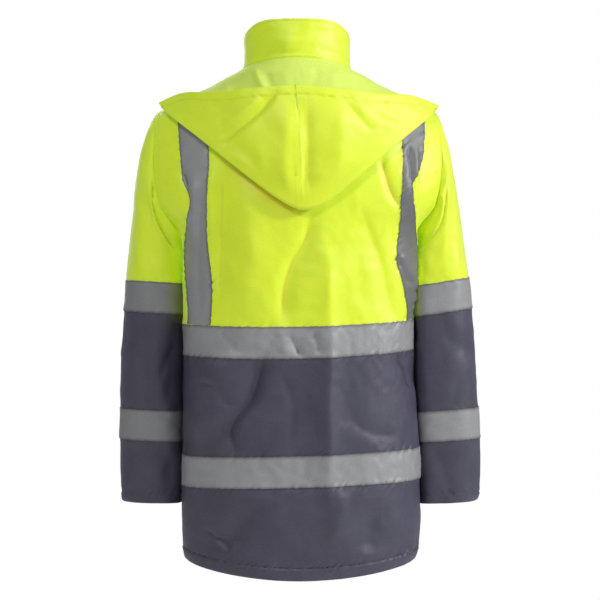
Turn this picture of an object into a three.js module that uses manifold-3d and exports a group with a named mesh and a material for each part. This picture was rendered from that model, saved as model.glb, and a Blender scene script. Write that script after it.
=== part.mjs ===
// A high-visibility work jacket, filled out as if worn, in millimetres.
// +Z is up, the front faces -Y and the wearer's left is +X. The origin is the middle of the neck,
// level with the neck ends of the shoulder seams, where the wearer's shoulders carry the jacket.
import * as THREE from "three";
import Module from "manifold-3d";

const wasm = await Module();
wasm.setup();

// Driving sizes
const CLOTH = 2.4; // shell, padding and lining together
const COLLAR_CLOTH = 3.0;
const HOOD_CLOTH = 1.6; // one unpadded layer
const SEAM_GAP = 0.3;
const TAPE_THICK = 0.8;
const TAPE_GAP = 0.3;
const ZIP_HALF = 9; // from the centre front to a front edge
const ZIP_TAPE_THICK = 1.2;
const CHAIN_HALF = 3.5;
const CHAIN_THICK = 2.6;
const STITCH_SINK = 0.9; // a row of stitches pulls the padded cloth in this far
const HEM_RISE = 0.7; // the turned hem is that much thicker
const ARMHOLE_GAP = 0.35; // a little over the other seams, as both edges are curved
const MITRE_LIMIT = 2; // the most that a mitred edge is lengthened
const ZIP_TAPE_LIFT = -0.4; // its face lies a little below the fronts' faces
const HALF_TURN = 180;
const SIDE = 90;
const HALVINGS = 30; // of a range, to find a place in it

// The body form, one row for each ring from the neck seam down. A ring is level but for its three
// heights, at the side, the centre back and the centre front, and its rise from the left side to
// the right one. half is half its width, back and front its depths at the centres, sideY where its
// sides are, lean its shift towards the wearer's left, and power how square it is (2 is an ellipse).
const RING_COLUMNS = ["zSide", "zBack", "zFront", "rise", "half", "back", "front", "sideY", "lean", "power"];
const RINGS = {
  neckSeam: [0, 14, -46, 0, 88.5, 84, -73, 6, 5, 2.0],
  neckSlope: [-20, -8, -66, 0, 114, 99, -93, 4, 5, 1.95],
  midShoulder: [-45, -36, -94, 0, 162, 112, -112, 0, 5, 1.9],
  shoulderPoint: [-69, -67, -123, 0, 228, 124, -130, -4, 5, 1.9],
  upperArmhole: [-112, -110, -158, 0, 250, 134, -141, -2, 4, 2.0],
  midArmhole: [-165, -160, -195, 0, 254, 142, -147, 2, 4, 2.15],
  lowArmhole: [-220, -216, -235, 2, 234, 148, -150, 10, 3, 2.3],
  armpit: [-268, -268, -272, 3, 190, 151, -150, 22, 3, 2.35],
  chest: [-335, -337, -337, 5, 186, 153, -149, 25, 3, 2.35],
  waistBandTop: [-406, -413, -410, 7, 186, 153, -148, 25, 3, 2.35],
  waistBandFoot: [-455, -463, -460, 9, 185, 152, -147, 25, 2, 2.35],
  belly: [-536, -539, -538, 11, 187, 151, -147, 25, 0, 2.35],
  hemBandTop: [-613, -615, -613, 13, 190, 151, -148, 24, -2, 2.35],
  hemBandFoot: [-663, -665, -663, 12, 191, 151, -149, 24, -2, 2.35],
  skirt: [-718, -732, -720, 8, 192.5, 151, -149, 22, -2, 2.3],
  hemStitch: [-768, -791, -770, 2, 190, 148, -147, 20, -1, 2.3],
  hem: [-786, -811, -790, 0, 186, 146, -144, 20, 0, 2.3],
};
const RING = Object.fromEntries(Object.keys(RINGS).map((name, i) => [name, i]));

// The armhole is an oval cut in the form, round the middle of the armhole rings.
const ARMHOLE_MIDDLE = (RING.shoulderPoint + RING.armpit) / 2;
const ARMHOLE_REACH = (RING.armpit - RING.shoulderPoint) / 2;
const ARMHOLE_CUT = 27; // degrees in from the side, in the back and in the front
const ARMHOLE_STEPS = 8; // on each half of the loop

// The sleeve from where its head has become a tube, one row for each section down to the cuff.
// A tilt is how much higher the outer side of a section is than its inner side, and a power is how
// square its back or front half is.
const SLEEVE_COLUMNS = [
  "z", "tiltLeft", "tiltRight", "outerLeft", "outerRight", "innerLeft", "innerRight", "back", "front",
  "backPower", "frontPower",
];
const SLEEVE = {
  biceps: [-302, 6, 16, 279.5, 270, 189.5, 184.5, 60, -88, 2.6, 2.1],
  bandTop: [-342, 6, 16, 283.5, 275, 189.5, 184.5, 58, -88, 2.8, 2.1],
  bandFoot: [-392, 6, 16, 287, 280, 189.5, 185, 54, -86, 2.8, 2.1],
  elbow: [-470, 6, 12, 292, 286.5, 191, 187.5, 47, -86, 2.8, 2.1],
  cuffBandTop: [-549, 5, 8, 294, 291, 191.5, 189.5, 37, -84, 2.8, 2.1],
  cuffBandFoot: [-599, 5, 7, 295, 294, 193, 191.5, 30, -82, 2.8, 2.1],
  cuffStitch: [-683, 2, 4, 293, 294, 194, 193, 19, -77, 2.6, 2.1],
  cuff: [-701, 2, 3, 290.5, 288, 194.5, 193.5, 17, -75, 2.5, 2.1],
};
const SLEEVE_ROW = Object.fromEntries(Object.keys(SLEEVE).map((name, i) => [name, i]));
// How far out the sleeve starts from the armhole for each part down: at the shoulder, at the
// armpit, and as much more at the back and the front, where it also starts away from the middle.
const SLEEVE_START = { left: 0.43, right: 0.26, armpit: 0.1, faces: 0.3, away: 0.25 };
const MM_PER_DEGREE = 0.9; // round a sleeve

// The largest folds. Each is a soft trough (negative depth) or ridge along a line on one face of
// the body, from x0, z0 to x1, z1, with its width across.
const FOLD_COLUMNS = ["x0", "z0", "x1", "z1", "width", "depth"];
const BODY_FOLDS = {
  back: {
    centreTrough: [-12, -250, -26, -585, 24, -7],
    centreRidge: [-54, -330, -56, -560, 30, 4],
    leftYokeTrough: [118, -235, 124, -395, 13, -5],
    leftYokeRidge: [92, -255, 88, -385, 22, 3],
    rightYokeTrough: [-104, -190, -136, -385, 12, -4],
    leftWaistTrough: [58, -470, 104, -600, 17, -7],
    leftWaistRidge: [96, -462, 132, -600, 24, 4],
    rightWaistTrough: [-150, -462, -176, -530, 11, -4],
    leftSkirtTrough: [70, -690, 118, -760, 18, -3],
    rightSkirtTrough: [-40, -680, -92, -760, 20, -4],
  },
  front: {
    leftChestTrough: [120, -230, 92, -390, 16, -5],
    rightChestTrough: [-116, -225, -96, -380, 15, -5],
    leftWaistTrough: [96, -470, 62, -610, 18, -5],
    rightWaistTrough: [-104, -475, -60, -600, 18, -6],
    leftSkirtRidge: [80, -670, 88, -780, 24, 4],
    rightSkirtRidge: [-86, -670, -78, -780, 24, 4],
  },
};
// A sleeve's folds: from turn0, z0 to turn1, z1, where a turn of 90 is the back of the sleeve and
// 0 its outer side.
const SLEEVE_FOLD_COLUMNS = ["turn0", "z0", "turn1", "z1", "width", "depth"];
const SLEEVE_FOLDS = {
  left: {
    armpitDrag: [104, -205, 140, -300, 9, -4],
    outerElbow: [20, -430, 74, -468, 14, -3],
    innerElbow: [250, -440, 310, -492, 16, -5],
    longTrough: [120, -400, 112, -540, 14, -3],
  },
  right: {
    armpitPinch: [84, -190, 122, -262, 9, -6],
    armpitDrag: [62, -200, 92, -312, 12, -4],
    outerElbow: [30, -455, 84, -430, 14, -3],
    innerElbow: [248, -436, 312, -480, 16, -5],
  },
};

// The collar, one row for each ring up from the neck seam. flat is how far round the back its
// height stays level.
const COLLAR_COLUMNS = ["zSide", "zBack", "zFront", "half", "back", "front", "flat"];
const COLLAR = {
  base: [0.5, 14.5, -45.5, 89, 84.5, -73.5, 2],
  roll: [12, 27, -31, 86, 83, -75, 2.2],
  middle: [34, 51, -4, 85.5, 80, -77, 3],
  upper: [52, 70, 20, 86, 77.5, -79, 4.5],
  top: [59, 78, 28, 83.5, 75, -79, 5.5],
};

// The hood let down on the back: a sheet that goes from the neck seam down the back, folds, and
// comes up again to its free edge, as a pocket.
const HOOD = {
  neckTurn: 128, // where its ends meet the neck seam, in degrees from the centre back
  neckStart: 0.1, // rings below the neck seam
  seamLift: 1.6, // how far its middle layer is from the body at the seam, further down, at the tips
  farLift: 6,
  farTipLift: 9,
  liftShare: 0.2, // of the far layer, from the seam down, in which it gets its full lift
  tipX: { left: 216, right: -212 },
  tipZ: { left: -68, right: -72 },
  bottomX: -8,
  bottomZ: -226,
  bottomRound: 0.16,
  edgeX: 4, // the middle of the free edge, its height, and how far it falls towards the tips
  edgeZ: -36.5,
  edgeDrop: { left: 15, right: 20 },
  edgeReach: 0.985, // of the way to the tips
  edgeLift: 48, // how far the free edge stands off the back, in the middle and at the tips
  tipLift: 16,
  tipBend: 5, // how late the edge bends towards the tip
  tipStart: 0.7, // of the way to the tip, where the edge starts for its corner
  tipCorner: { left: [3, 3, 3.5], right: [-3.5, 3, 4] }, // from the fold's end to the edge's end
  foldRadius: 5.5,
  tipRadius: 2.2,
  bulge: 9,
  columns: 24,
  farRows: 9,
  foldRows: 3,
  nearRows: 6,
};

// The zip's slider and its pull tab, near the top of the collar
const SLIDER = { row: 2.9, width: 11, height: 13, depth: 4.2, chamfer: 0.8, channel: 8.2, channelDepth: 1.7 };
const BRIDGE = { width: 2.4, span: 7.4, height: 4.6, foot: 0.5, chamfer: 1.4 };
const BRIDGE_HOLE = { width: 4.8, floor: 0.3, top: 3.2 };
const TAB = { width: 8, length: 32, thick: 1.4, window: 4.2, windowLength: 5.5, bar: 1.3, play: 0.15 };
const TAB_CORNERS = { top: 1, foot: 2.5 };

const PAINT = {
  yellow: { color: 0xcfee2a, roughness: 0.7 },
  grey: { color: 0x4b4a5a, roughness: 0.75 },
  tape: { color: 0x9a9a9a, roughness: 0.45 },
  zip: { color: 0x35343e, roughness: 0.6 },
  metal: { color: 0x8c8c90, roughness: 0.35, metalness: 0.9 },
};

const jacket = new THREE.Group();

function addPiece(name, geometry, paint) {
  const piece = new THREE.Mesh(geometry, new THREE.MeshStandardMaterial(PAINT[paint]));
  piece.name = name;
  jacket.add(piece);
  return piece;
}

const radians = THREE.MathUtils.degToRad;
const mix = THREE.MathUtils.lerp;

// The values of a table at a place between its rows, smooth through each row.
function between(table, columns, place) {
  const rows = Object.values(table);
  const at = THREE.MathUtils.clamp(place, 0, rows.length - 1);
  const i = Math.min(Math.floor(at), rows.length - 2);
  const f = at - i;
  const before = rows[Math.max(i - 1, 0)];
  const after = rows[Math.min(i + 2, rows.length - 1)];
  const values = {};
  columns.forEach((name, k) => {
    const [a, b] = [rows[i][k], rows[i + 1][k]];
    const slopeA = (b - before[k]) / 2;
    const slopeB = (after[k] - a) / 2;
    const [f2, f3] = [f * f, f * f * f];
    values[name] =
      a * (2 * f3 - 3 * f2 + 1) + b * (3 * f2 - 2 * f3) + slopeA * (f3 - 2 * f2 + f) + slopeB * (f3 - f2);
  });
  return values;
}

// How far one fold moves the cloth at a place on its face: full along its line, faded at the ends.
function foldHere(fold, columns, across, up, scaleAcross = 1) {
  const v = Object.fromEntries(columns.map((name, i) => [name, fold[i]]));
  const [a0, a1] = columns[0] === "turn0" ? [v.turn0, v.turn1] : [v.x0, v.x1];
  const [dx, dz] = [(a1 - a0) * scaleAcross, v.z1 - v.z0];
  const [px, pz] = [(across - a0) * scaleAcross, up - v.z0];
  const length = Math.hypot(dx, dz);
  const along = (px * dx + pz * dz) / length;
  const off = (px * dz - pz * dx) / length / v.width;
  const fade = THREE.MathUtils.smoothstep(along, -v.width, length * 0.3);
  const end = 1 - THREE.MathUtils.smoothstep(along, length * 0.7, length + v.width);
  return v.depth * Math.exp(-off * off) * fade * end;
}

// A point of the body form. place counts rings down from the neck seam; turn is in degrees from
// the centre back towards the wearer's left.
function plainForm(place, turn) {
  const r = between(RINGS, RING_COLUMNS, place);
  const [s, c] = [Math.sin(radians(turn)), Math.cos(radians(turn))];
  const reach = (Math.abs(s) ** r.power + Math.abs(c) ** r.power) ** (-1 / r.power);
  const depth = c > 0 ? r.back - r.sideY : r.sideY - r.front;
  const centreZ = c > 0 ? r.zBack : r.zFront;
  return new THREE.Vector3(
    r.lean + r.half * s * reach,
    r.sideY + depth * c * reach,
    mix(r.zSide, centreZ, c * c) - (r.rise / 2) * s,
  );
}

const ROW_STEP = 0.01;
const TURN_STEP = 0.4;

// The normal of a surface with a row and a turn. sign turns it outwards: 1 where the rows go up
// the wearer or the turn goes round the left sleeve, -1 where they go the other way.
function normalOf(surface, row, turn, sign) {
  const alongRows = surface(row + ROW_STEP, turn).sub(surface(row - ROW_STEP, turn));
  const alongTurn = surface(row, turn + TURN_STEP).sub(surface(row, turn - TURN_STEP));
  return alongRows.cross(alongTurn).normalize().multiplyScalar(sign);
}

function form(place, turn) {
  const p = plainForm(place, turn);
  const n = normalOf(plainForm, place, turn, -1);
  const face = Math.cos(radians(turn)) > 0 ? BODY_FOLDS.back : BODY_FOLDS.front;
  let move = 0;
  for (const fold of Object.values(face)) move += foldHere(fold, FOLD_COLUMNS, p.x, p.z);
  return p.addScaledVector(n, move);
}

function formNormal(place, turn) {
  return normalOf(form, place, turn, -1);
}

const SKEW = 0.85; // a quad is split the other way when its other diagonal is this much shorter

// A closed wall between two grids of points, rows by columns, closed round where it is a tube.
function wall(outer, inner, tube = false) {
  const [rows, columns] = [outer.length, outer[0].length];
  const points = [...outer.flat(), ...inner.flat()];
  const id = (side, r, c) => side * rows * columns + r * columns + (c % columns);
  const faces = [];
  const quad = (a, b, c, d) => faces.push(a, b, c, a, c, d);
  const spans = tube ? columns : columns - 1;
  for (let r = 0; r < rows - 1; r++)
    for (let c = 0; c < spans; c++) {
      const corners = (side) =>
        [id(side, r, c), id(side, r, c + 1), id(side, r + 1, c + 1), id(side, r + 1, c)];
      const [a, b, d, e] = corners(0);
      const shift = points[b].distanceTo(points[e]) < SKEW * points[a].distanceTo(points[d]) ? 1 : 0;
      const turned = (list) => [...list.slice(shift), ...list.slice(0, shift)];
      quad(...turned(corners(0)));
      const [p, q, s, t] = turned(corners(1));
      quad(p, t, s, q);
    }
  for (let c = 0; c < spans; c++) {
    quad(id(0, 0, c), id(1, 0, c), id(1, 0, c + 1), id(0, 0, c + 1));
    quad(id(0, rows - 1, c), id(0, rows - 1, c + 1), id(1, rows - 1, c + 1), id(1, rows - 1, c));
  }
  for (let r = 0; r < rows - 1 && !tube; r++) {
    quad(id(0, r, 0), id(0, r + 1, 0), id(1, r + 1, 0), id(1, r, 0));
    const last = columns - 1;
    quad(id(0, r, last), id(1, r, last), id(1, r + 1, last), id(0, r + 1, last));
  }
  let volume = 0;
  for (let i = 0; i < faces.length; i += 3) {
    const [a, b, c] = [points[faces[i]], points[faces[i + 1]], points[faces[i + 2]]];
    volume += a.dot(new THREE.Vector3().crossVectors(b, c));
  }
  if (volume < 0) faces.reverse();
  const geometry = new THREE.BufferGeometry().setFromPoints(points);
  return geometry.setIndex(faces);
}

function solidOf(geometry) {
  const flat = geometry.index ? geometry.toNonIndexed() : geometry;
  const positions = flat.getAttribute("position").array;
  const mesh = new wasm.Mesh({
    numProp: 3,
    vertProperties: new Float32Array(positions),
    triVerts: Uint32Array.from({ length: positions.length / 3 }, (_, i) => i),
  });
  mesh.merge();
  return new wasm.Manifold(mesh);
}

function geometryOf(solid) {
  const mesh = solid.getMesh();
  const geometry = new THREE.BufferGeometry();
  geometry.setAttribute("position", new THREE.BufferAttribute(mesh.vertProperties, 3));
  return geometry.setIndex(new THREE.BufferAttribute(mesh.triVerts, 1));
}

// The direction in which two cloths that meet at a seam both get their thickness.
function mitre(n1, n2) {
  const both = n1.clone().add(n2);
  return both.divideScalar(Math.max(1 + n1.dot(n2), both.length() / MITRE_LIMIT));
}

// The armhole

const handOf = (side) => (side === "left" ? 1 : -1);
const armholeStep = (k) => (k * HALF_TURN) / ARMHOLE_STEPS;
const armholePlace = (swing) => ARMHOLE_MIDDLE - ARMHOLE_REACH * Math.cos(radians(swing));

function armholeSwing(place) {
  const cosine = THREE.MathUtils.clamp((ARMHOLE_MIDDLE - place) / ARMHOLE_REACH, -1, 1);
  return THREE.MathUtils.radToDeg(Math.acos(cosine));
}

// The loop's point at a swing of 0 at the shoulder point, 90 at the back, 180 at the armpit and
// 270 at the front.
function armholePoint(side, swing) {
  const cut = ARMHOLE_CUT * Math.sin(radians(swing));
  return form(armholePlace(swing), handOf(side) * (SIDE - cut));
}

// Where the sleeve starts on the loop: its point, its way out and its seam's mitre.
function armholeSeam(side, swing) {
  const hand = handOf(side);
  const p = armholePoint(side, swing);
  const loop = armholePoint(side, swing + 2).sub(armholePoint(side, swing - 2)).normalize();
  const cut = ARMHOLE_CUT * Math.sin(radians(swing));
  const bodyNormal = formNormal(armholePlace(swing), hand * (SIDE - cut));
  const top = Math.cos(radians(swing / 2)) ** 2;
  const back = Math.sin(radians(swing));
  const sideways = mix(SLEEVE_START.armpit, SLEEVE_START[side], top) + SLEEVE_START.faces * Math.abs(back);
  const out = new THREE.Vector3(hand * sideways, SLEEVE_START.away * back, -1).normalize();
  const across = out.clone().addScaledVector(loop, -out.dot(loop)).normalize();
  const sleeveNormal = across.clone().cross(loop).multiplyScalar(hand);
  const thick = mitre(bodyNormal, sleeveNormal);
  const gap = loop.cross(thick).normalize();
  if (gap.dot(across) < 0) gap.negate();
  return { p: p.addScaledVector(gap, ARMHOLE_GAP), out, mitre: thick };
}

// Body panels

const neckMitre = (turn) => mitre(formNormal(0, turn), collarNormal(0, turn));

// The turn at which a panel ends: at the side or shoulder seam, or at the armhole.
function sideEdge(place) {
  const r = between(RINGS, RING_COLUMNS, place);
  const gap = THREE.MathUtils.radToDeg(Math.asin(SEAM_GAP / 2 / r.half));
  return Math.max(ARMHOLE_CUT * Math.sin(radians(armholeSwing(place))), gap);
}

const zipEdge = (half) => THREE.MathUtils.radToDeg(Math.asin(ZIP_HALF / half));
const frontEdge = (place) => zipEdge(between(RINGS, RING_COLUMNS, place).half);

const PANELS = {
  back: { edges: (p) => [-SIDE + sideEdge(p), SIDE - sideEdge(p)], columns: 20, armhole: [true, true] },
  front_left: {
    edges: (p) => [SIDE + sideEdge(p), HALF_TURN - frontEdge(p)],
    columns: 10,
    armhole: [true, false],
  },
  front_right: {
    edges: (p) => [HALF_TURN + frontEdge(p), 2 * HALF_TURN - SIDE - sideEdge(p)],
    columns: 10,
    armhole: [false, true],
  },
};

const TURNING_STEP = 0.14; // in rows, from the stitches and from the edge to the full turning

// How far the outer face stands out near an edge: sunk at the stitches, thicker in the turning.
function edgeRelief(row, stitch, edge) {
  if (row === stitch) return -STITCH_SINK;
  return row >= stitch + TURNING_STEP && row <= edge - TURNING_STEP ? HEM_RISE : 0;
}

function edgeMitre(panel, place, column) {
  const edge = column === 0 ? 0 : column === panel.columns ? 1 : -1;
  if (edge < 0 || !panel.armhole[edge]) return null;
  if (place < RING.shoulderPoint || place > RING.armpit) return null;
  const swing = armholeSwing(place);
  const turn = panel.edges(place)[edge];
  const side = Math.sin(radians(turn)) > 0 ? "left" : "right";
  return armholeSeam(side, Math.cos(radians(turn)) > 0 ? swing : 2 * HALF_TURN - swing).mitre;
}

function panelGrid(panel, places, outLift, inLift) {
  const [outer, inner] = [[], []];
  for (const place of places) {
    const [from, to] = panel.edges(place);
    const [outRow, inRow] = [[], []];
    for (let c = 0; c <= panel.columns; c++) {
      const turn = mix(from, to, c / panel.columns);
      const p = form(place, turn);
      const n = formNormal(place, turn);
      const seam = inLift < 0 && (place === 0 ? neckMitre(turn) : edgeMitre(panel, place, c));
      const relief = inLift < 0 ? edgeRelief(place, RING.hemStitch, RING.hem) : 0;
      outRow.push(p.clone().addScaledVector(n, outLift + relief));
      inRow.push(p.clone().addScaledVector(seam || n, inLift));
    }
    outer.push(outRow);
    inner.push(inRow);
  }
  return [outer, inner];
}

const JOIN = (RING.waistBandTop + RING.waistBandFoot) / 2; // yoke and skirt meet under the tape
const JOIN_GAP = 0.003; // in rings, half of the seam's gap

const armholeRows = Array.from({ length: ARMHOLE_STEPS + 1 }, (_, k) => armholePlace(armholeStep(k)));
const UPPER_ROWS = [
  RING.neckSeam,
  RING.neckSlope,
  RING.midShoulder,
  ...armholeRows,
  RING.armpit + 0.5,
  RING.chest,
  RING.chest + 0.5,
  RING.waistBandTop,
  JOIN - JOIN_GAP,
];
const LOWER_ROWS = [
  JOIN + JOIN_GAP,
  RING.waistBandFoot,
  RING.belly - 0.5,
  RING.belly,
  RING.belly + 0.5,
  RING.hemBandTop,
  RING.hemBandFoot,
  RING.skirt,
  RING.skirt + 0.6,
  RING.hemStitch - TURNING_STEP,
  RING.hemStitch,
  RING.hemStitch + TURNING_STEP,
  RING.hem - TURNING_STEP,
  RING.hem,
];

function addBodyPanels() {
  for (const [name, panel] of Object.entries(PANELS)) {
    addPiece(`${name}_yoke`, wall(...panelGrid(panel, UPPER_ROWS, 0, -CLOTH)), "yellow");
    addPiece(`${name}_skirt`, wall(...panelGrid(panel, LOWER_ROWS, 0, -CLOTH)), "grey");
  }
}

// Reflective tapes round the body, one length on each panel
function addBodyTapes() {
  const bands = {
    waist_tape: [RING.waistBandTop, JOIN, RING.waistBandFoot],
    hem_tape: [RING.hemBandTop, RING.hemBandFoot],
  };
  for (const [band, places] of Object.entries(bands))
    for (const [name, panel] of Object.entries(PANELS)) {
      const grids = panelGrid(panel, places, TAPE_GAP + TAPE_THICK, TAPE_GAP);
      addPiece(`${band}_${name}`, wall(...grids), "tape");
    }
}

// The turn at which a ring has a given distance from the middle, on the back (0 to 90).
function turnAtX(place, x) {
  const r = between(RINGS, RING_COLUMNS, place);
  const goal = Math.abs(x - r.lean);
  let [low, high] = [0, SIDE];
  for (let i = 0; i < HALVINGS; i++) {
    const middle = (low + high) / 2;
    const away = Math.abs(plainForm(place, middle).x - r.lean);
    if (away < goal) low = middle;
    else high = middle;
  }
  return low;
}

// The place and turn on one face of the form at a given x and z.
function onFace(face, x, z) {
  let [low, high] = [0, RING.hem];
  const facing = (turn) => {
    const folded = face === "back" ? turn : HALF_TURN - turn;
    return x < 0 ? -folded : folded;
  };
  for (let i = 0; i < HALVINGS; i++) {
    const middle = (low + high) / 2;
    if (plainForm(middle, facing(turnAtX(middle, x))).z > z) low = middle;
    else high = middle;
  }
  return { place: low, turn: facing(turnAtX(low, x)) };
}

// The braces: tape over each shoulder, from the waist tape at the back to the one at the front.
// Each is cut from a skin over the panels' own faces, by the outline that its edges draw.
const BRACE_EDGES = {
  left: {
    top: { z: 0, inner: 145, outer: 197 },
    yoke: { z: -110, inner: 146, outer: 192 },
    drag: { z: -205, inner: 144, outer: 179 },
    chest: { z: -290, inner: 145, outer: 183 },
    foot: { z: -420, inner: 140, outer: 180 },
  },
  right: {
    top: { z: 0, inner: -160, outer: -203 },
    yoke: { z: -110, inner: -165, outer: -200 },
    drag: { z: -195, inner: -161, outer: -183 },
    chest: { z: -298, inner: -151, outer: -181 },
    foot: { z: -420, inner: -168, outer: -181 },
  },
};
const BRACE_ROWS = UPPER_ROWS.filter((place) => place >= RING.neckSlope && place < RING.waistBandTop);
const BRACE_FOOT_GAP = 0.012; // in rings, from the waist tape
const CUT_REACH = 200; // more than the body's depth to each side

function braceSkin(side) {
  const rows = [...BRACE_ROWS, RING.waistBandTop - BRACE_FOOT_GAP];
  const lifts = [TAPE_GAP + TAPE_THICK, TAPE_GAP];
  const back = panelGrid(PANELS.back, rows, ...lifts);
  const front = panelGrid(PANELS[`front_${side}`], rows, ...lifts);
  const half = PANELS.back.columns / 2;
  const join = (i) => (row, r) =>
    side === "left" ? [...row.slice(half), ...front[i][r]] : [...front[i][r], ...row.slice(0, half + 1)];
  return wall(back[0].map(join(0)), back[1].map(join(1)));
}

function addBraces() {
  for (const [side, table] of Object.entries(BRACE_EDGES)) {
    const edges = Object.values(table);
    const inner = edges.map((e) => new THREE.Vector2(e.inner, -e.z));
    const outer = edges.map((e) => new THREE.Vector2(e.outer, -e.z)).reverse();
    const outline = new THREE.Shape([...inner, ...outer]);
    const cutter = new THREE.ExtrudeGeometry(outline, { depth: 2 * CUT_REACH, bevelEnabled: false });
    cutter.translate(0, 0, -CUT_REACH);
    cutter.rotateX(-Math.PI / 2);
    const tape = solidOf(braceSkin(side)).intersect(solidOf(cutter));
    addPiece(`brace_tape_${side}`, geometryOf(tape), "tape");
  }
}

// Sleeves

// A point on the sleeve's tube. row counts the table's sections; turn is 0 at the outer side, 90
// at the back, 180 at the inner side and 270 at the front.
function sleeveTube(side, row, turn) {
  const v = between(SLEEVE, SLEEVE_COLUMNS, row);
  const [s, c] = [Math.sin(radians(turn)), Math.cos(radians(turn))];
  const power = s > 0 ? v.backPower : v.frontPower;
  const reach = (Math.abs(s) ** power + Math.abs(c) ** power) ** (-1 / power);
  const tilt = side === "left" ? v.tiltLeft : v.tiltRight;
  const [outer, inner] = side === "left" ? [v.outerLeft, v.innerLeft] : [v.outerRight, v.innerRight];
  const [middleX, halfX] = [(outer + inner) / 2, (outer - inner) / 2];
  const [middleY, halfY] = [(v.back + v.front) / 2, (v.back - v.front) / 2];
  const x = middleX + halfX * c * reach;
  return new THREE.Vector3(
    side === "left" ? x : -x,
    middleY + halfY * s * reach,
    v.z + (tilt / 2) * c,
  );
}

// The whole sleeve: along runs from -1 at the armhole to 0 where the head has become the tube.
function plainSleeve(side, along, turn) {
  if (along >= 0) return sleeveTube(side, along, turn);
  const start = armholeSeam(side, turn);
  const end = sleeveTube(side, 0, turn);
  const f = along + 1;
  const [f2, f3] = [f * f, f * f * f];
  const reach = start.p.distanceTo(end);
  const down = sleeveTube(side, 0.2, turn).sub(end).normalize();
  return start.p
    .multiplyScalar(2 * f3 - 3 * f2 + 1)
    .addScaledVector(end, 3 * f2 - 2 * f3)
    .addScaledVector(start.out, (f3 - 2 * f2 + f) * reach)
    .addScaledVector(down, (f3 - f2) * reach);
}

function sleeve(side, along, turn) {
  const p = plainSleeve(side, along, turn);
  const n = normalOf((a, b) => plainSleeve(side, a, b), along, turn, handOf(side));
  let move = 0;
  for (const fold of Object.values(SLEEVE_FOLDS[side]))
    move += foldHere(fold, SLEEVE_FOLD_COLUMNS, turn, p.z, MM_PER_DEGREE);
  return p.addScaledVector(n, along <= -1 ? 0 : move);
}

const sleeveNormal = (side, along, turn) =>
  normalOf((a, b) => sleeve(side, a, b), along, turn, handOf(side));

function sleeveGrid(side, rows, outLift, inLift) {
  const [outer, inner] = [[], []];
  for (const along of rows) {
    const [outRow, inRow] = [[], []];
    for (let k = 0; k < 2 * ARMHOLE_STEPS; k++) {
      const turn = armholeStep(k);
      const p = sleeve(side, along, turn);
      const n = along <= -1 ? armholeSeam(side, turn).mitre : sleeveNormal(side, along, turn);
      const relief = inLift < 0 ? edgeRelief(along, SLEEVE_ROW.cuffStitch, SLEEVE_ROW.cuff) : 0;
      outRow.push(p.clone().addScaledVector(n, along <= -1 ? 0 : outLift + relief));
      inRow.push(p.clone().addScaledVector(n, inLift));
    }
    outer.push(outRow);
    inner.push(inRow);
  }
  return [outer, inner];
}

const SLEEVE_JOIN = (SLEEVE_ROW.bandTop + SLEEVE_ROW.bandFoot) / 2;
const HEAD_ROWS = [-1, -0.86, -0.7, -0.52, -0.34, -0.17];
const SLEEVE_UPPER_ROWS = [...HEAD_ROWS, SLEEVE_ROW.biceps, SLEEVE_ROW.bandTop, SLEEVE_JOIN - JOIN_GAP];
const SLEEVE_LOWER_ROWS = [
  SLEEVE_JOIN + JOIN_GAP,
  SLEEVE_ROW.bandFoot,
  SLEEVE_ROW.bandFoot + 0.5,
  SLEEVE_ROW.elbow,
  SLEEVE_ROW.elbow + 0.5,
  SLEEVE_ROW.cuffBandTop,
  SLEEVE_ROW.cuffBandFoot,
  SLEEVE_ROW.cuffBandFoot + 0.55,
  SLEEVE_ROW.cuffStitch - TURNING_STEP,
  SLEEVE_ROW.cuffStitch,
  SLEEVE_ROW.cuffStitch + TURNING_STEP,
  SLEEVE_ROW.cuff - TURNING_STEP,
  SLEEVE_ROW.cuff,
];

function addSleeves() {
  for (const side of ["left", "right"]) {
    const upper = sleeveGrid(side, SLEEVE_UPPER_ROWS, 0, -CLOTH);
    const lower = sleeveGrid(side, SLEEVE_LOWER_ROWS, 0, -CLOTH);
    addPiece(`sleeve_upper_${side}`, wall(...upper, true), "yellow");
    addPiece(`sleeve_lower_${side}`, wall(...lower, true), "grey");
    const bands = {
      sleeve_tape_upper: [SLEEVE_ROW.bandTop, SLEEVE_JOIN, SLEEVE_ROW.bandFoot],
      sleeve_tape_lower: [SLEEVE_ROW.cuffBandTop, SLEEVE_ROW.cuffBandFoot],
    };
    for (const [name, rows] of Object.entries(bands)) {
      const grids = sleeveGrid(side, rows, TAPE_GAP + TAPE_THICK, TAPE_GAP);
      addPiece(`${name}_${side}`, wall(...grids, true), "tape");
    }
  }
}

// Collar

function collar(row, turn) {
  const v = between(COLLAR, COLLAR_COLUMNS, row);
  const [s, c] = [Math.sin(radians(turn)), Math.cos(radians(turn))];
  const ring = between(RINGS, RING_COLUMNS, RING.neckSeam);
  const depth = c > 0 ? v.back - ring.sideY : ring.sideY - v.front;
  const z = c > 0 ? mix(v.zBack, v.zSide, Math.abs(s) ** v.flat) : mix(v.zSide, v.zFront, c * c);
  return new THREE.Vector3(ring.lean + v.half * s, ring.sideY + depth * c, z);
}

const collarNormal = (row, turn) => normalOf(collar, row, turn, 1);

const COLLAR_ROWS = [0, 0.6, 1.5, 2.5, 3.3, 4];

// The collar's columns stand on the panels' columns at the neck.
function collarTurns(edge) {
  const turns = [];
  for (let c = 0; c < PANELS.front_right.columns; c++)
    turns.push(mix(-edge, -SIDE, c / PANELS.front_right.columns));
  for (let c = 0; c <= PANELS.back.columns; c++) turns.push(mix(-SIDE, SIDE, c / PANELS.back.columns));
  for (let c = 1; c <= PANELS.front_left.columns; c++)
    turns.push(mix(SIDE, edge, c / PANELS.front_left.columns));
  return turns;
}

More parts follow.
